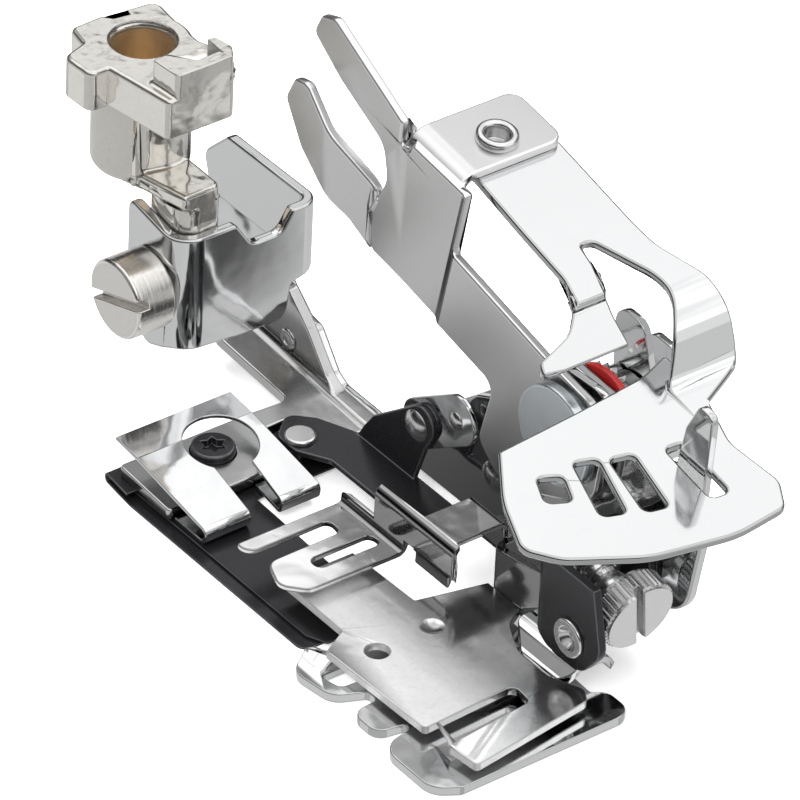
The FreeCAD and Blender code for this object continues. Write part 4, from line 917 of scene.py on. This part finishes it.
floor_z, floor_half = BED_Z * MM, 6
floor_mesh = bpy.data.meshes.new("floor")
floor_corners = [(a * floor_half, b * floor_half, floor_z) for a, b in ((-1, -1), (1, -1), (1, 1), (-1, 1))]
floor_mesh.from_pydata(floor_corners, [], [(0, 1, 2, 3)])
floor = bpy.data.objects.new("floor", floor_mesh)
scene.collection.objects.link(floor)
pale = bpy.data.materials.new("pale_floor")
pale.use_nodes = True
tree = pale.node_tree
paint = tree.nodes["Principled BSDF"]
paint.inputs["Base Color"].default_value = (0.9, 0.9, 0.9, 1)
paint.inputs["Roughness"].default_value = 0.9
paint.inputs["Specular IOR Level"].default_value = 0.0
paint.inputs["Emission Color"].default_value = (1, 1, 1, 1)
paint.inputs["Emission Strength"].default_value = 0.42
# What the metal mirrors of the floor: a painted shadow, a glow seen by glossy rays only, dark under the part
# and pale further off
painted_shadow_x, painted_shadow_y = 0.008, -0.045
painted_floor_shadow = tree.nodes.new("ShaderNodeEmission")
spread = tree.nodes.new("ShaderNodeTexCoord")
flat = tree.nodes.new("ShaderNodeSeparateXYZ")
tree.links.new(spread.outputs["Object"], flat.inputs[0])
aside = mathed(tree, "POWER", mathed(tree, "SUBTRACT", flat.outputs["X"], painted_shadow_x), 2.0)
ahead = mathed(tree, "POWER", mathed(tree, "SUBTRACT", flat.outputs["Y"], painted_shadow_y), 2.0)
reach = mathed(tree, "SQRT", mathed(tree, "ADD", aside, ahead))
glow = ramp(tree, mathed(tree, "MULTIPLY", reach, 10.0),
            [(0.0, 0.04), (0.17, 0.1), (0.26, 0.72), (0.45, 0.66), (1.0, 0.72)])
tree.links.new(glow, painted_floor_shadow.inputs["Color"])
path = tree.nodes.new("ShaderNodeLightPath")
mix = tree.nodes.new("ShaderNodeMixShader")
tree.links.new(path.outputs["Is Glossy Ray"], mix.inputs[0])
tree.links.new(paint.outputs[0], mix.inputs[1])
tree.links.new(painted_floor_shadow.outputs[0], mix.inputs[2])
tree.links.new(mix.outputs[0], tree.nodes["Material Output"].inputs["Surface"])
floor_mesh.materials.append(pale)

world = bpy.data.worlds.new("studio")
scene.world = world
world.use_nodes = True
tree = world.node_tree
link = tree.links.new
sky = tree.nodes["Background"]
coords = tree.nodes.new("ShaderNodeTexCoord")
parts = tree.nodes.new("ShaderNodeSeparateXYZ")
link(coords.outputs["Generated"], parts.inputs[0])
height = mathed(tree, "ADD", mathed(tree, "MULTIPLY", parts.outputs["Z"], 0.5), 0.5)
bands = ramp(tree, height, [(0.0, 0.5), (0.47, 0.3), (0.50, 0.02), (0.70, 0.04), (0.77, 0.42), (0.88, 0.62),
                            (1.0, 0.6)])
# Dark and bright areas of a room, so that rounded metal has something to mirror
room = node(tree, "ShaderNodeTexNoise", Scale=2.6, Detail=1.0, Roughness=0.4)
link(coords.outputs["Generated"], room.inputs["Vector"])
areas = ramp(tree, room.outputs["Fac"], [(0.36, 0.3), (0.46, 0.85), (0.54, 1.0), (0.64, 1.3)])
light = mathed(tree, "MULTIPLY", bands, areas)
# Bright wall in front on the right, mirrored by the bends that face forward
facing = tree.nodes.new("ShaderNodeVectorMath")
facing.operation = "DOT_PRODUCT"
facing.inputs[1].default_value = (0.5, -0.866, 0.0)
link(coords.outputs["Generated"], facing.inputs[0])
wall = ramp(tree, facing.outputs["Value"], [(0.80, 0.0), (0.92, 0.95)])
light = mathed(tree, "MAXIMUM", light, wall)
link(light, sky.inputs["Color"])
sky.inputs["Strength"].default_value = 1.0
white = tree.nodes.new("ShaderNodeBackground")
white.inputs["Color"].default_value = (1, 1, 1, 1)
path = tree.nodes.new("ShaderNodeLightPath")
mix = tree.nodes.new("ShaderNodeMixShader")
link(path.outputs["Is Camera Ray"], mix.inputs[0])
link(sky.outputs[0], mix.inputs[1])
link(white.outputs[0], mix.inputs[2])
link(mix.outputs[0], tree.nodes["World Output"].inputs["Surface"])


def softbox(name, place, aim_at, size, power):
    data = bpy.data.lights.new(name, "AREA")
    data.shape = "RECTANGLE"
    data.size, data.size_y = size
    data.energy = power
    lamp = bpy.data.objects.new(name, data)
    scene.collection.objects.link(lamp)
    lamp.location = place
    lamp.rotation_euler = (Vector(aim_at) - Vector(place)).to_track_quat("-Z", "Y").to_euler()
    return lamp


middle = (0.0, -0.035, -0.018)
key = softbox("key", (0.25, 0.35, 0.55), middle, (0.5, 0.5), 9.0)
key.visible_glossy = False
fill = softbox("fill", (-0.6, -0.2, 0.5), middle, (0.4, 0.6), 5.0)
fill.visible_glossy = False
CARD_Z = 0.21


def overhead_card(name, low, high, glow):
    """Bright sheet above the object, whose edges show as the bounds of the white reflections."""
    size = [far - near for near, far in zip(low, high)]
    centre = [(far + near) / 2 for near, far in zip(low, high)]
    card = softbox(name, (*centre, CARD_Z), (*centre, 0.0), size, glow * math.pi * size[0] * size[1])
    card.rotation_euler = (0, 0, 0)
    card.visible_camera = False


overhead_card("front_card", (-0.15, -0.6), (0.194, 0.222), 0.92)
overhead_card("right_card", (0.194, -0.6), (0.5, 0.1), 0.85)
overhead_card("back_card", (0.16, 0.235), (0.27, 0.34), 0.7)

scene.view_settings.view_transform = "Standard"
